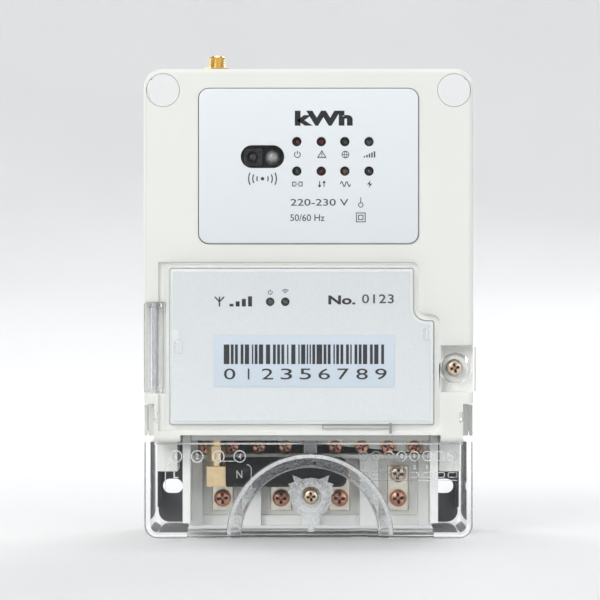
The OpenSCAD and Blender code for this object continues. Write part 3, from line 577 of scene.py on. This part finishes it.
def screw_mesh(head_r, head_h, shank_r, shank_len, pitch, slot_reach=0.0):
    """A pan-head screw with a cross recess and a cut thread, its seat at height 0 and its head up."""
    rows = max(4, int(shank_len / pitch * 8))
    shank = [(shank_r * 0.7, -shank_len), (shank_r * 0.98, -shank_len + 0.35)]
    shank += [(shank_r, -shank_len + 0.4 + (shank_len - 0.7) * i / rows) for i in range(rows + 1)]
    shank += [(shank_r * 0.96, -0.2), (shank_r * 0.96, 0)]
    head = [(head_r * 0.96, 0), (head_r, head_h * 0.12), (head_r, head_h * 0.42)]
    head += [(head_r * (0.62 + 0.38 * math.cos(a)), head_h * (0.42 + 0.5 * math.sin(a)))
             for a in [math.pi / 2 * k / 6 for k in range(1, 6)]]
    head += [(head_r * 0.6, head_h * 0.93), (head_r * 0.3, head_h), (head_r * 0.02, head_h)]
    turned = lathe(shank + head, 40, (-shank_len + 0.4, -0.3, pitch, pitch * 0.5))
    cutters = [wedge(head_r * 0.74, head_r * 0.36, head_h, head_h * 0.72, 0.5, turn) for turn in (0, 90)]
    if slot_reach:
        cutters.append(wedge(head_r * slot_reach, head_r * 0.2, head_h, head_h * 0.36, 1.0, 0))
    mesh = cut(turned, cutters)
    mesh.transform(Matrix.Scale(MM, 4))
    return mesh


FACING = Matrix.Rotation(math.pi / 2, 4, "X")


def screw_at(name, mesh, seat, body, slot_name, node, turn, finish=None):
    """Stands a screw on its seat, looking along -Y, with its cross turned by an angle in degrees."""
    made = bpy.data.objects.new(name, mesh)
    scene.collection.objects.link(made)
    made.matrix_world = Matrix.Translation(seat) @ FACING @ Matrix.Rotation(math.radians(turn), 4, "Z")
    mesh.materials.clear()
    mesh.materials.append(finish or MATERIALS[slot_name])
    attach(made, body)
    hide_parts(node)
    smooth_by_angle(made, 35)


# ---- nameplate ----

PRINT_MM = 0.04


def nameplate_print():
    """The mark, the small signs under the lamps, the infrared sign and the rating, on the panel's face."""
    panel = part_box("nameplate_panel")
    face = front_point(panel)
    face.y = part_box("nameplate_window")[0].y - SHEET_MM * MM
    lamps = [box for colour in ("red", "green", "amber", "clear") for box in solids_of("leds_" + colour)]
    lamps.sort(key=lambda box: (-round(middle(box).z / MM / 3), middle(box).x))
    spots = [((middle(b).x - face.x) / MM, (middle(b).z - face.z) / MM) for b in lamps]
    ink = Drawing()
    first, last = spots[0], spots[3]
    centre = (first[0] + last[0]) / 2
    ink.letters("kWh", centre - 3.1, first[1] + 7.9, 19.6, 5.1, 0.055, 1.02)
    fine = Drawing()
    signs = (sign_power, sign_alarm, sign_globe, sign_bars, sign_link, sign_data, sign_wave, sign_bolt)
    for sign, (u, v) in zip(signs, spots):
        sign(fine, u + 0.2, v - 4.4)
    port = [middle(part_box(n)) for n in ("ir_receiver", "ir_emitter")]
    port_u = ((port[0].x + port[1].x) / 2 - face.x) / MM
    port_v = (port[0].z - face.z) / MM
    sign_infrared(fine, port_u, port_v - 7.5)
    row_v = spots[4][1] - 10.6
    left = spots[4][0] - 2.2
    fine.letters("220-230 V", left + 9.9, row_v, 19.6, 2.3, 0.004)
    fine.letters("50/60 Hz", left + 5.8, row_v - 5.2, 11.6, 2.3, 0.004)
    mark_u = left + 23.9
    fine.ring(mark_u, row_v - 0.9, 0.75, 0.26)
    fine.rect(mark_u - 0.13, row_v - 0.2, mark_u + 0.13, row_v + 1.7)
    for half in (1.5, 0.75):
        corners = [(mark_u - half, row_v - 5.1 - half), (mark_u + half, row_v - 5.1 - half),
                   (mark_u + half, row_v - 5.1 + half), (mark_u - half, row_v - 5.1 + half)]
        fine.stroke(corners, 0.28, closed=True)
    ink.raise_on("nameplate_mark", face, PRINT_MM, "root", INK)
    fine.raise_on("nameplate_signs", face, PRINT_MM, "root", GREY_INK)
    nameplate_sheet(face, spots, (port_u, port_v))


SIGN_LINE = 0.3


def sign_power(d, u, v):
    d.arc(u, v, 1.0, -235, 55, SIGN_LINE)
    d.rect(u - 0.15, v + 0.1, u + 0.15, v + 1.3)


def sign_alarm(d, u, v):
    d.stroke([(u - 1.35, v - 1.0), (u + 1.35, v - 1.0), (u, v + 1.25)], SIGN_LINE, closed=True)
    d.rect(u - 0.14, v - 0.25, u + 0.14, v + 0.55)
    d.disc(u, v - 0.6, 0.17, 10)


def sign_globe(d, u, v):
    d.ring(u, v, 1.15, 0.24)
    d.rect(u - 1.15, v - 0.1, u + 1.15, v + 0.1)
    d.arc(u - 1.3, v, 1.75, -38, 38, 0.2, 8)
    d.arc(u + 1.3, v, 1.75, 142, 218, 0.2, 8)


def sign_bars(d, u, v):
    for i in range(5):
        d.rect(u - 2.0 + i * 0.85, v - 1.0, u - 1.5 + i * 0.85, v - 0.5 + i * 0.4)


def sign_link(d, u, v):
    for side in (-1, 1):
        d.stroke([(u + side * 0.3, v + 0.65), (u + side * 1.6, v + 0.65), (u + side * 1.6, v - 0.65),
                  (u + side * 0.3, v - 0.65)], SIGN_LINE)
    d.rect(u - 0.9, v - 0.14, u + 0.9, v + 0.14)


def sign_data(d, u, v):
    for side in (-1, 1):
        x = u + side * 0.75
        d.rect(x - 0.15, v - 1.0, x + 0.15, v + 1.0)
        d.polygon([(x - 0.6, v + side * 0.35), (x + 0.6, v + side * 0.35), (x, v + side * 1.25)])


def sign_wave(d, u, v):
    points = [(u - 1.7 + 0.2 * i, v + 0.85 * math.sin(i * math.pi / 4.25)) for i in range(18)]
    d.stroke(points, SIGN_LINE)


def sign_bolt(d, u, v):
    d.polygon([(u + 0.35, v + 1.3), (u - 0.9, v - 0.15), (u - 0.05, v - 0.15)])
    d.polygon([(u - 0.35, v - 1.3), (u + 0.9, v + 0.15), (u + 0.05, v + 0.15)])


def sign_infrared(d, u, v):
    """Two sets of facing waves and a dot."""
    d.disc(u, v, 0.6, 16)
    for side in (0, 180):
        for radius in (1.9, 3.3, 4.7):
            d.arc(u, v, radius, side - 26, side + 26, 0.4, 8)


def round_rect(half_u, half_v, radius, steps=8):
    """Points of a rectangle with round corners about 0, 0."""
    points = []
    for quarter, (su, sv) in enumerate(((1, 1), (-1, 1), (-1, -1), (1, -1))):
        for i in range(steps + 1):
            angle = math.pi / 2 * (quarter + i / steps)
            points.append((su * (half_u - radius) + radius * math.cos(angle),
                           sv * (half_v - radius) + radius * math.sin(angle)))
    return points


WINDOW_EDGE_MM = 0.7
WINDOW_CORNER_MM = 3.4
SHEET_MM = 0.03


LAMP_HOLE_R_MM = 1.62
PORT_HALF_MM = (7.4, 3.9)


def filled_outline(outlines):
    """Faces of the first outline, less the others as holes, as lists of (u, v) points in mm."""
    curve = bpy.data.curves.new("outline", "CURVE")
    curve.dimensions = "2D"
    curve.fill_mode = "BOTH"
    for outline in outlines:
        spline = curve.splines.new("POLY")
        spline.points.add(len(outline) - 1)
        for point, (u, v) in zip(spline.points, outline):
            point.co = (u, v, 0, 1)
        spline.use_cyclic_u = True
    holder = bpy.data.objects.new("outline", curve)
    scene.collection.objects.link(holder)
    flat = bpy.data.meshes.new_from_object(holder.evaluated_get(bpy.context.evaluated_depsgraph_get()))
    faces = [[tuple(flat.vertices[i].co[:2]) for i in face.vertices] for face in flat.polygons]
    bpy.data.objects.remove(holder)
    bpy.data.curves.remove(curve)
    bpy.data.meshes.remove(flat)
    return faces


def nameplate_sheet(face, spots, port):
    """The printed sheet on the face of the window, with the port and lamp holes, wrapped over its edge."""
    window_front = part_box("nameplate_window")[0].y
    cover_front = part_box("main_cover")[0].y
    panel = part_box("nameplate_panel")
    rim = 1.6
    half_u = (panel[1].x - panel[0].x) / 2 / MM + rim
    half_v = (panel[1].z - panel[0].z) / 2 / MM + rim
    steps = [(WINDOW_EDGE_MM * (math.sin(a) - 1), WINDOW_EDGE_MM * (1 - math.cos(a))) for a in
             [math.pi / 2 * k / 5 for k in range(6)]]
    steps.append((0.0, (cover_front - window_front) / MM + 1.2))
    outlines = [round_rect(half_u + grow + SHEET_MM, half_v + grow + SHEET_MM, WINDOW_CORNER_MM + grow)
                for grow, back in steps]
    holes = [[(port[0] + u, port[1] + v) for u, v in oval(*PORT_HALF_MM)]]
    holes += [circle(u, v, LAMP_HOLE_R_MM, 32) for u, v in spots]
    shape = bmesh.new()
    for points in filled_outline([outlines[0]] + holes):
        shape.faces.new([shape.verts.new((face.x + u * MM, face.y, face.z + v * MM)) for u, v in points])
    loops = [[shape.verts.new((face.x + u * MM, face.y + back * MM, face.z + v * MM)) for u, v in outline]
             for outline, (grow, back) in zip(outlines, steps)]
    for first, second in zip(loops, loops[1:]):
        for i in range(len(first)):
            j = (i + 1) % len(first)
            shape.faces.new([first[i], second[i], second[j], first[j]])
    bmesh.ops.remove_doubles(shape, verts=shape.verts, dist=2e-7)
    bmesh.ops.recalc_face_normals(shape, faces=shape.faces)
    if sum(f.normal.y * f.calc_area() for f in shape.faces) > 0:
        bmesh.ops.reverse_faces(shape, faces=shape.faces)
    made = place("nameplate_sheet", mesh_of(shape, "nameplate_sheet"), "root",
                 MATERIALS["nameplate_print"])
    smooth_by_angle(made, 50)
    thicken(made, 0.02, -1.0)


# ---- module label and barcode ----

def module_print():
    """The signs on the module's label: a signal sign, the two lamp signs and a plain number."""
    low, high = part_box("module_label")
    face = Vector((low.x, low.y, high.z))
    lamps = sorted(solids_of("module_leds"), key=lambda b: b[0].x)
    lamp_u = [(middle(b).x - face.x) / MM for b in lamps]
    lamp_v = (middle(lamps[0]).z - face.z) / MM
    bold = Drawing()
    aerial = lamp_u[0] - 17.2
    bold.stroke([(aerial - 1.6, lamp_v + 1.7), (aerial, lamp_v), (aerial + 1.6, lamp_v + 1.7)], 0.45)
    bold.rect(aerial - 0.25, lamp_v - 1.6, aerial + 0.25, lamp_v + 1.7)
    for i in range(4):
        u = aerial + 3.4 + i * 2.1
        bold.rect(u, lamp_v - 1.6, u + 1.35, lamp_v - 0.7 + i * 0.85)
    bold.letters("No.", lamp_u[1] + 19.2, lamp_v + 0.6, 9.2, 3.1, 0.035)
    plain = Drawing()
    plain.letters("0123", lamp_u[1] + 31.4, lamp_v + 1.0, 10.8, 3.1, 0.012, 1.1)
    plain.arc(lamp_u[0], lamp_v + 3.2, 0.7, -230, 50, 0.26, 10)
    plain.rect(lamp_u[0] - 0.13, lamp_v + 3.3, lamp_u[0] + 0.13, lamp_v + 4.2)
    for radius in (0.6, 1.15, 1.7):
        plain.arc(lamp_u[1], lamp_v + 2.5, radius, 50, 130, 0.26, 6)
    bold.raise_on("module_marks_bold", face, PRINT_MM, "root", INK)
    plain.raise_on("module_marks_plain", face, PRINT_MM, "root", GREY_INK)


def barcode_print():
    """Bars of seeded widths, and nine wide digits below them."""
    low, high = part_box("barcode_label")
    wide, tall = (high.x - low.x) / MM, (high.z - low.z) / MM
    face = Vector((low.x, low.y, low.z))
    left, right = 0.055 * wide, 0.958 * wide
    foot, head = 0.44 * tall, 0.815 * tall
    bars = Drawing()
    module = (right - left) / 116
    u = left
    while u < right - 3 * module:
        bar = module * rng.choice((1, 2, 2, 3, 3, 4))
        bars.rect(u, foot, u + bar, head)
        u += bar + module * rng.choice((1, 1, 1, 2, 2))
    step = (right - left - 4) / 8
    for i, digit in enumerate("012356789"):
        slim = 0.14 if digit == "1" else 1.0
        bars.letters(digit, left + 2 + step * i, 0.25 * tall, 3.9 * slim, 3.7, 0.002)
    bars.raise_on("barcode_bars", face, PRINT_MM, "root", INK)


def door_details():
    """The snap windows of the clear module cover, and grey strips as painted shadow along its seam and at its
    latch mark, just behind its plate.
    """
    low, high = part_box("module_label")
    face = Vector((low.x, low.y - 0.1 * MM, low.z))
    wide, tall = (high.x - low.x) / MM, (high.z - low.z) / MM
    lines = Drawing()
    for u, v, half_u, half_v in ((1.9, tall - 25.4, 1.3, 2.3), (wide - 1.5, tall - 21.2, 0.8, 2.0)):
        outline = [(u + p[0], v + p[1]) for p in round_rect(half_u, half_v, 0.7, 4)]
        lines.stroke(outline, 0.22, closed=True)
    lines.raise_on("door_snap_windows", face, 0.16, "module_cover", EMBOSS_AND_HIGHLIGHT, 0.0)
    # painted shadow: grey strips where the seam and the latch notch of the cover lie in shade
    seam = Drawing()
    seam.rect(0.582 * wide, -1.5, 0.84 * wide, -1.25)
    seam.rect(0.582 * wide, -2.6, 0.84 * wide, -2.4)
    seam.rect(0.58 * wide, -2.6, 0.583 * wide, -1.25)
    seam.rect(0.84 * wide, -4.2, 0.85 * wide, -0.5)
    seam.raise_on("door_seam_painted_shadow", face, 0.12, "module_cover", SEAM_PAINTED_SHADOW, 0.0)


def arm_pads():
    """The return of the white cover behind the arms of the terminal cover."""
    low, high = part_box("main_cover")
    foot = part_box("terminal_cover")[0].z
    for side, name in ((-1, "left"), (1, "right")):
        edge = high.x if side > 0 else low.x
        inner = edge - side * 3.0 * MM
        pad = Drawing()
        pad.polygon(round_rect(1.35, 6.0, 0.5, 4))
        spot = Vector(((edge + inner) / 2, high.y - 0.05 * MM, foot + 40.0 * MM))
        pad.raise_on("cover_return_" + name, spot, 0.25, "root", MATERIALS["cover_plastic"],
                     0.0)


# ---- infrared port ----

def oval(half_u, half_v, steps=40):
    """Points of a flat-sided oval about 0, 0."""
    straight = half_u - half_v
    points = []
    for i in range(steps):
        angle = 2 * math.pi * (i + 0.5) / steps
        shift = straight if math.cos(angle) > 0 else -straight
        points.append((shift + half_v * math.cos(angle), half_v * math.sin(angle)))
    return points


def tube_between(name, inner, outer, centre, y_front, y_back, body, material):
    """A tube along Y between two closed outlines with the same number of points."""
    shape = bmesh.new()
    loops = []
    for outline, y in ((inner, y_back), (inner, y_front), (outer, y_front), (outer, y_back)):
        loops.append([shape.verts.new((centre.x + u * MM, y, centre.z + v * MM)) for u, v in outline])
    for k in range(4):
        first, second = loops[k], loops[(k + 1) % 4]
        for i in range(len(first)):
            j = (i + 1) % len(first)
            shape.faces.new([first[i], first[j], second[j], second[i]])
    bmesh.ops.recalc_face_normals(shape, faces=shape.faces)
    smooth_by_angle(place(name, mesh_of(shape, name), body, material))


def infrared_port():
    """The black shroud between the panel and the board, and its floor."""
    eye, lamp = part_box("ir_receiver"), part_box("ir_emitter")
    centre = (middle(eye) + middle(lamp)) / 2
    panel_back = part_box("nameplate_panel")[1].y
    board_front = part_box("display_board")[0].y
    tube_between("infrared_shroud", oval(7.0, 4.1), oval(7.9, 5.0), centre, panel_back + 0.05 * MM,
                 board_front - 0.05 * MM, "root", MATERIALS["black_plastic"])
    floor = Drawing()
    floor.polygon(oval(7.0, 4.1))
    floor.raise_on("infrared_floor", Vector((centre.x, board_front - 0.1 * MM, centre.z)), 0.5, "root",
                   MATERIALS["black_plastic"])


# ---- screws ----

# the one main terminal screw that is nickel, counted in rows from the top left
BRIGHT_SCREW = 3


def clamp_screws():
    """The cross-head screws of the terminals."""
    for node, slot_name, size, turns in (
            ("main_terminal_screws", "copper_screw", (3.0, 3.4, 2.0, 5.6, 0.7, 0.0), 9),
            ("aux_terminal_screws", "copper_screw", (2.4, 2.0, 1.2, 3.6, 0.5, 0.86), 40)):
        mesh = screw_mesh(*size)
        spots = solids_of(node)
        for i, box in enumerate(spots):
            seat = middle(box)
            seat.y = box[0].y + size[1] * MM
            each = mesh.copy()
            bright = node == "main_terminal_screws" and i == BRIGHT_SCREW
            finish = MATERIALS["nickel_steel"] if bright else None
            screw_at(f"{node[:-1]}_{i + 1}", each, seat, "root", slot_name, node,
                     rng.uniform(-turns, turns), finish)


def seal_screw(node, body):
    """A captive seal screw: wide head with a cross, plain neck, thread."""
    low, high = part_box(node)
    head_r = (high.x - low.x) / 2 / MM
    seat = middle((low, high))
    head_h = 2.2
    length = (high.y - low.y) / MM - head_h
    seat.y = low.y + head_h * MM
    mesh = screw_mesh(head_r, head_h, 1.5, length, 0.5)
    screw_at(node + "_detailed", mesh, seat, body, "nickel_steel", node, rng.uniform(-20, 20))


# ---- top jack ----

def top_jack():
    """The gilt jack above the case, with its thread and hollow end."""
    low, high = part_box("top_coax_jack")
    case_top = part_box("main_cover")[1].z
    centre = middle((low, high))
    rise = (high.z - case_top) / MM
    foot = (low.z - case_top) / MM
    rows = 64
    threaded = [(2.9, -0.6 + (rise + 0.1) * i / rows) for i in range(rows + 1)]
    base = [(4.6, foot), (4.6, -2.2), (2.75, -2.2), (2.75, -0.7)]
    profile = base + threaded + [(2.5, rise - 0.2), (2.3, rise)]
    bore = [(2.15, rise), (2.05, rise - 0.3), (2.05, 1.2), (0.9, 1.1), (0.9, rise - 1.6), (0.35, rise - 1.3)]
    mesh = lathe(profile + bore, 56, (-0.6, rise - 0.6, 0.7, 0.32))
    mesh.transform(Matrix.Scale(MM, 4))
    made = bpy.data.objects.new("top_jack_threaded", mesh)
    scene.collection.objects.link(made)
    made.matrix_world = Matrix.Translation(Vector((centre.x, centre.y, case_top)))
    mesh.materials.append(MATERIALS["gold_plate"])
    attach(made, "root")
    smooth_by_angle(made, 35)
    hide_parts("top_coax_jack")


# ---- mouldings on the terminal cover ----

def terminal_marks():
    """The raised terminal numbers and letters on the clear cover."""
    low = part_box("terminal_cover")[0]
    case_low, case_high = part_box("main_cover")
    middle_x = (case_low.x + case_high.x) / 2
    face = Vector((middle_x, low.y, low.z))
    row_v = (middle(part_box("aux_terminals")).z - low.z) / MM - 2.7
    wire_u = [(middle(b).x - middle_x) / MM for b in solids_of("main_terminals")]
    marks = Drawing()
    pitch = (wire_u[3] - wire_u[0]) / 3
    first = wire_u[0] - 0.75 * pitch
    for i in range(4):
        u = first + i * pitch * 0.355
        marks.ring(u, row_v, 1.95, 0.38)
        slim = 0.6 if i == 0 else 1.1
        marks.letters(str(i + 1), u, row_v, slim, 2.0, 0.01)
    marks.letters("L", first, row_v - 6.1, 1.7, 2.6, 0.01)
    marks.letters("N", first + pitch * 1.06, row_v - 6.1, 2.0, 2.6, 0.01)
    for side, u in ((-1, first - 2.4), (1, first + pitch * 1.2)):
        marks.arc(u - side * 0.4, row_v - 4.4, 1.6, 90 - side * 90, 90, 0.34, 8)
        marks.rect(u - 0.17 + side * 1.2, row_v - 11.5, u + 0.17 + side * 1.2, row_v - 4.4)
    marks.rect(first + 0.79 * pitch, row_v - 1.75, first + 0.98 * pitch, row_v - 1.45)
    start = wire_u[3] - 12.6
    for i in range(8):
        u = start + i * 4.35
        marks.ring(u, row_v + 0.1, 1.6, 0.3)
        number = str(i + 5)
        marks.letters(number, u, row_v + 0.1, 0.85 * len(number), 1.5, 0.005)
        marks.letters(str(i + 1), u, row_v - 3.6, 0.5 if i == 0 else 0.9, 1.4, 0.005)
        marks.stroke([(u + a, row_v - 6.3 + b) for a, b in round_rect(1.5, 0.8, 0.3, 3)], 0.26, closed=True)
    marks.rect(start - 1.6, row_v - 8.3, start + 7 * 4.35 + 1.6, row_v - 8.0)
    marks.rect(case_low.x / MM - middle_x / MM + 3.4, 32.1, case_high.x / MM - middle_x / MM - 3.4, 32.7)
    marks.raise_on("terminal_marks", face, 0.0, "terminal_cover", EMBOSS_AND_HIGHLIGHT, 0.12)


ARCH_FRONT_R_MM = 27.2
ARCH_REAR_R_MM = 23.4
ARCH_DEEP_MM = 5.5


def arch_painted_light():
    """Painted light on the arched recess: a pale skin on its ramp as painted sheen, and bright lines along
    its two edges as painted highlights.
    """
    low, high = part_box("terminal_cover")
    centre = Vector(((low.x + high.x) / 2 + 0.5 * MM, low.y, low.z + 0.4 * MM))
    slope = (ARCH_FRONT_R_MM - ARCH_REAR_R_MM) / ARCH_DEEP_MM
    steps = 96
    for name, near, far, finish in (
            ("arch_ramp_painted_sheen", (ARCH_FRONT_R_MM - 0.05, 0.0), (ARCH_REAR_R_MM + 0.05, ARCH_DEEP_MM), ARCH_PAINTED_SHEEN),
            ("arch_front_painted_highlight", (ARCH_FRONT_R_MM + 1.1, 0.0), (ARCH_FRONT_R_MM - 0.1, 0.0), EMBOSS_AND_HIGHLIGHT),
            ("arch_rear_painted_highlight", (ARCH_REAR_R_MM + 0.1 + 0.7 * slope, ARCH_DEEP_MM - 0.7),
             (ARCH_REAR_R_MM + 0.1, ARCH_DEEP_MM), EMBOSS_AND_HIGHLIGHT)):
        shape = bmesh.new()
        rows = []
        for radius, deep in (near, far):
            row = []
            for i in range(steps + 1):
                angle = math.radians(2 + 176 * i / steps)
                row.append(shape.verts.new((centre.x + radius * math.cos(angle) * MM,
                                            centre.y + (deep - 0.06) * MM,
                                            centre.z + radius * math.sin(angle) * MM)))
            rows.append(row)
        for i in range(steps):
            shape.faces.new([rows[0][i], rows[0][i + 1], rows[1][i + 1], rows[1][i]])
        bmesh.ops.recalc_face_normals(shape, faces=shape.faces)
        made = place(name, mesh_of(shape, name), "terminal_cover", finish)
        smooth_by_angle(made)
        thicken(made, 0.02, 0.0)


WEB_REACH_MM = 11
WEB_DEPTHS_MM = (45.5, 47.9)


def frosting():
    """The matt texture on the web round the seal screw of the terminal cover."""
    source = NODES["terminal_cover"].data
    screw = middle(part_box("terminal_seal_screw"))
    chosen = []
    for face in source.polygons:
        near = (Vector((face.center.x, face.center.z)) - Vector((screw.x, screw.z))).length
        in_layer = -WEB_DEPTHS_MM[1] * MM < face.center.y < -WEB_DEPTHS_MM[0] * MM
        if face.normal.y < -0.99 and near < WEB_REACH_MM * MM and in_layer:
            chosen.append(face)
    shape = bmesh.new()
    for face in chosen:
        corners = []
        for index in face.vertices:
            corner = source.vertices[index].co
            corners.append(shape.verts.new((corner.x, corner.y - 0.02 * MM, corner.z)))
        shape.faces.new(corners)
    bmesh.ops.remove_doubles(shape, verts=shape.verts, dist=1e-6)
    made = place("leaf_frosting", mesh_of(shape, "leaf_frosting"), "terminal_cover", FROST)
    thicken(made, 0.04, 1.0)


# ---- stage ----

def camera_and_stage():
    """The camera in front of the meter, soft lights, and a pale floor that curves up into a wall."""
    cover_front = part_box("main_cover")[0].y
    distance, field = 1.0, 0.2036
    lens = bpy.data.cameras.new("front_camera")
    lens.sensor_width = 36
    lens.lens = lens.sensor_width * distance / field
    camera = bpy.data.objects.new("front_camera", lens)
    scene.collection.objects.link(camera)
    camera.location = (-0.0029, cover_front - distance, 0.0014)
    camera.rotation_euler = (math.pi / 2, 0, 0)
    scene.camera = camera

    here = (0.0, 0.0, 0.0)
    for name, spot, aim, size, power, tint in (
            ("key_light", (-0.8, -1.35, 0.85), here, 0.9, 9.9, (1.0, 0.99, 0.97)),
            ("fill_light", (0.95, -1.25, 0.3), here, 1.1, 4.7, (0.97, 0.985, 1.0)),
            ("top_light", (0.05, -0.2, 1.4), here, 0.9, 4.0, (1.0, 1.0, 1.0)),
            ("back_light", (0.6, 1.3, 0.8), here, 1.0, 8.0, (1.0, 1.0, 1.0)),
            ("rear_left_light", (-1.0, 1.1, 0.5), here, 0.9, 7.0, (1.0, 1.0, 1.0)),
            ("wall_light", (0.0, 0.5, 2.0), (0.0, 2.6, 0.7), 1.0, 20.0, (1.0, 1.0, 1.0))):
        data = bpy.data.lights.new(name, "AREA")
        data.size = size
        data.energy = power
        data.color = tint
        light = bpy.data.objects.new(name, data)
        scene.collection.objects.link(light)
        light.location = spot
        light.rotation_euler = (Vector(aim) - Vector(spot)).to_track_quat("-Z", "Y").to_euler()

    world = bpy.data.worlds.new("studio")
    world.use_nodes = True
    background = world.node_tree.nodes["Background"]
    background.inputs["Color"].default_value = (0.95, 0.97, 1.0, 1)
    background.inputs["Strength"].default_value = 0.27
    scene.world = world

    floor_z = CAD_BOX[0].z - 0.0002
    flat, cove, height, steps = 1.3, 1.3, 3.2, 72
    profile = [(0.6, 0.0), (flat, 0.0)]
    profile += [(flat + cove * math.sin(a), cove * (1 - math.cos(a))) for a in
                [math.pi / 2 * k / 8 for k in range(1, 9)]]
    profile.append((flat + cove, height))
    shape = bmesh.new()
    rings = []
    for radius, rise in profile:
        rings.append([shape.verts.new((radius * math.cos(2 * math.pi * i / steps),
                                       radius * math.sin(2 * math.pi * i / steps), floor_z + rise))
                      for i in range(steps)])
    for low, high in zip(rings, rings[1:]):
        for i in range(steps):
            j = (i + 1) % steps
            shape.faces.new([low[i], low[j], high[j], high[i]])
    shape.faces.new(rings[0])
    bmesh.ops.recalc_face_normals(shape, faces=shape.faces)
    for face in shape.faces:
        face.smooth = True
    mesh = mesh_of(shape, "studio_floor")
    g = Graph("pale_floor")
    cloud = g.noise(3, 3)
    base = g.blend(g.spread(cloud, 0, 1), (0.80, 0.81, 0.82, 1), (0.84, 0.84, 0.84, 1))
    shader = g.add("BsdfPrincipled", {"Base Color": base, "Roughness": 0.75})
    mesh.materials.append(g.finish(shader.outputs[0]))
    floor = bpy.data.objects.new("studio_floor", mesh)
    scene.collection.objects.link(floor)
    scene.view_settings.view_transform = "Standard"


camera_and_stage()
nameplate_print()
module_print()
door_details()
arm_pads()
barcode_print()
infrared_port()
clamp_screws()
seal_screw("module_seal_screw", "module_seal_screw")
seal_screw("terminal_seal_screw", "terminal_seal_screw")
top_jack()
terminal_marks()
arch_painted_light()
frosting()
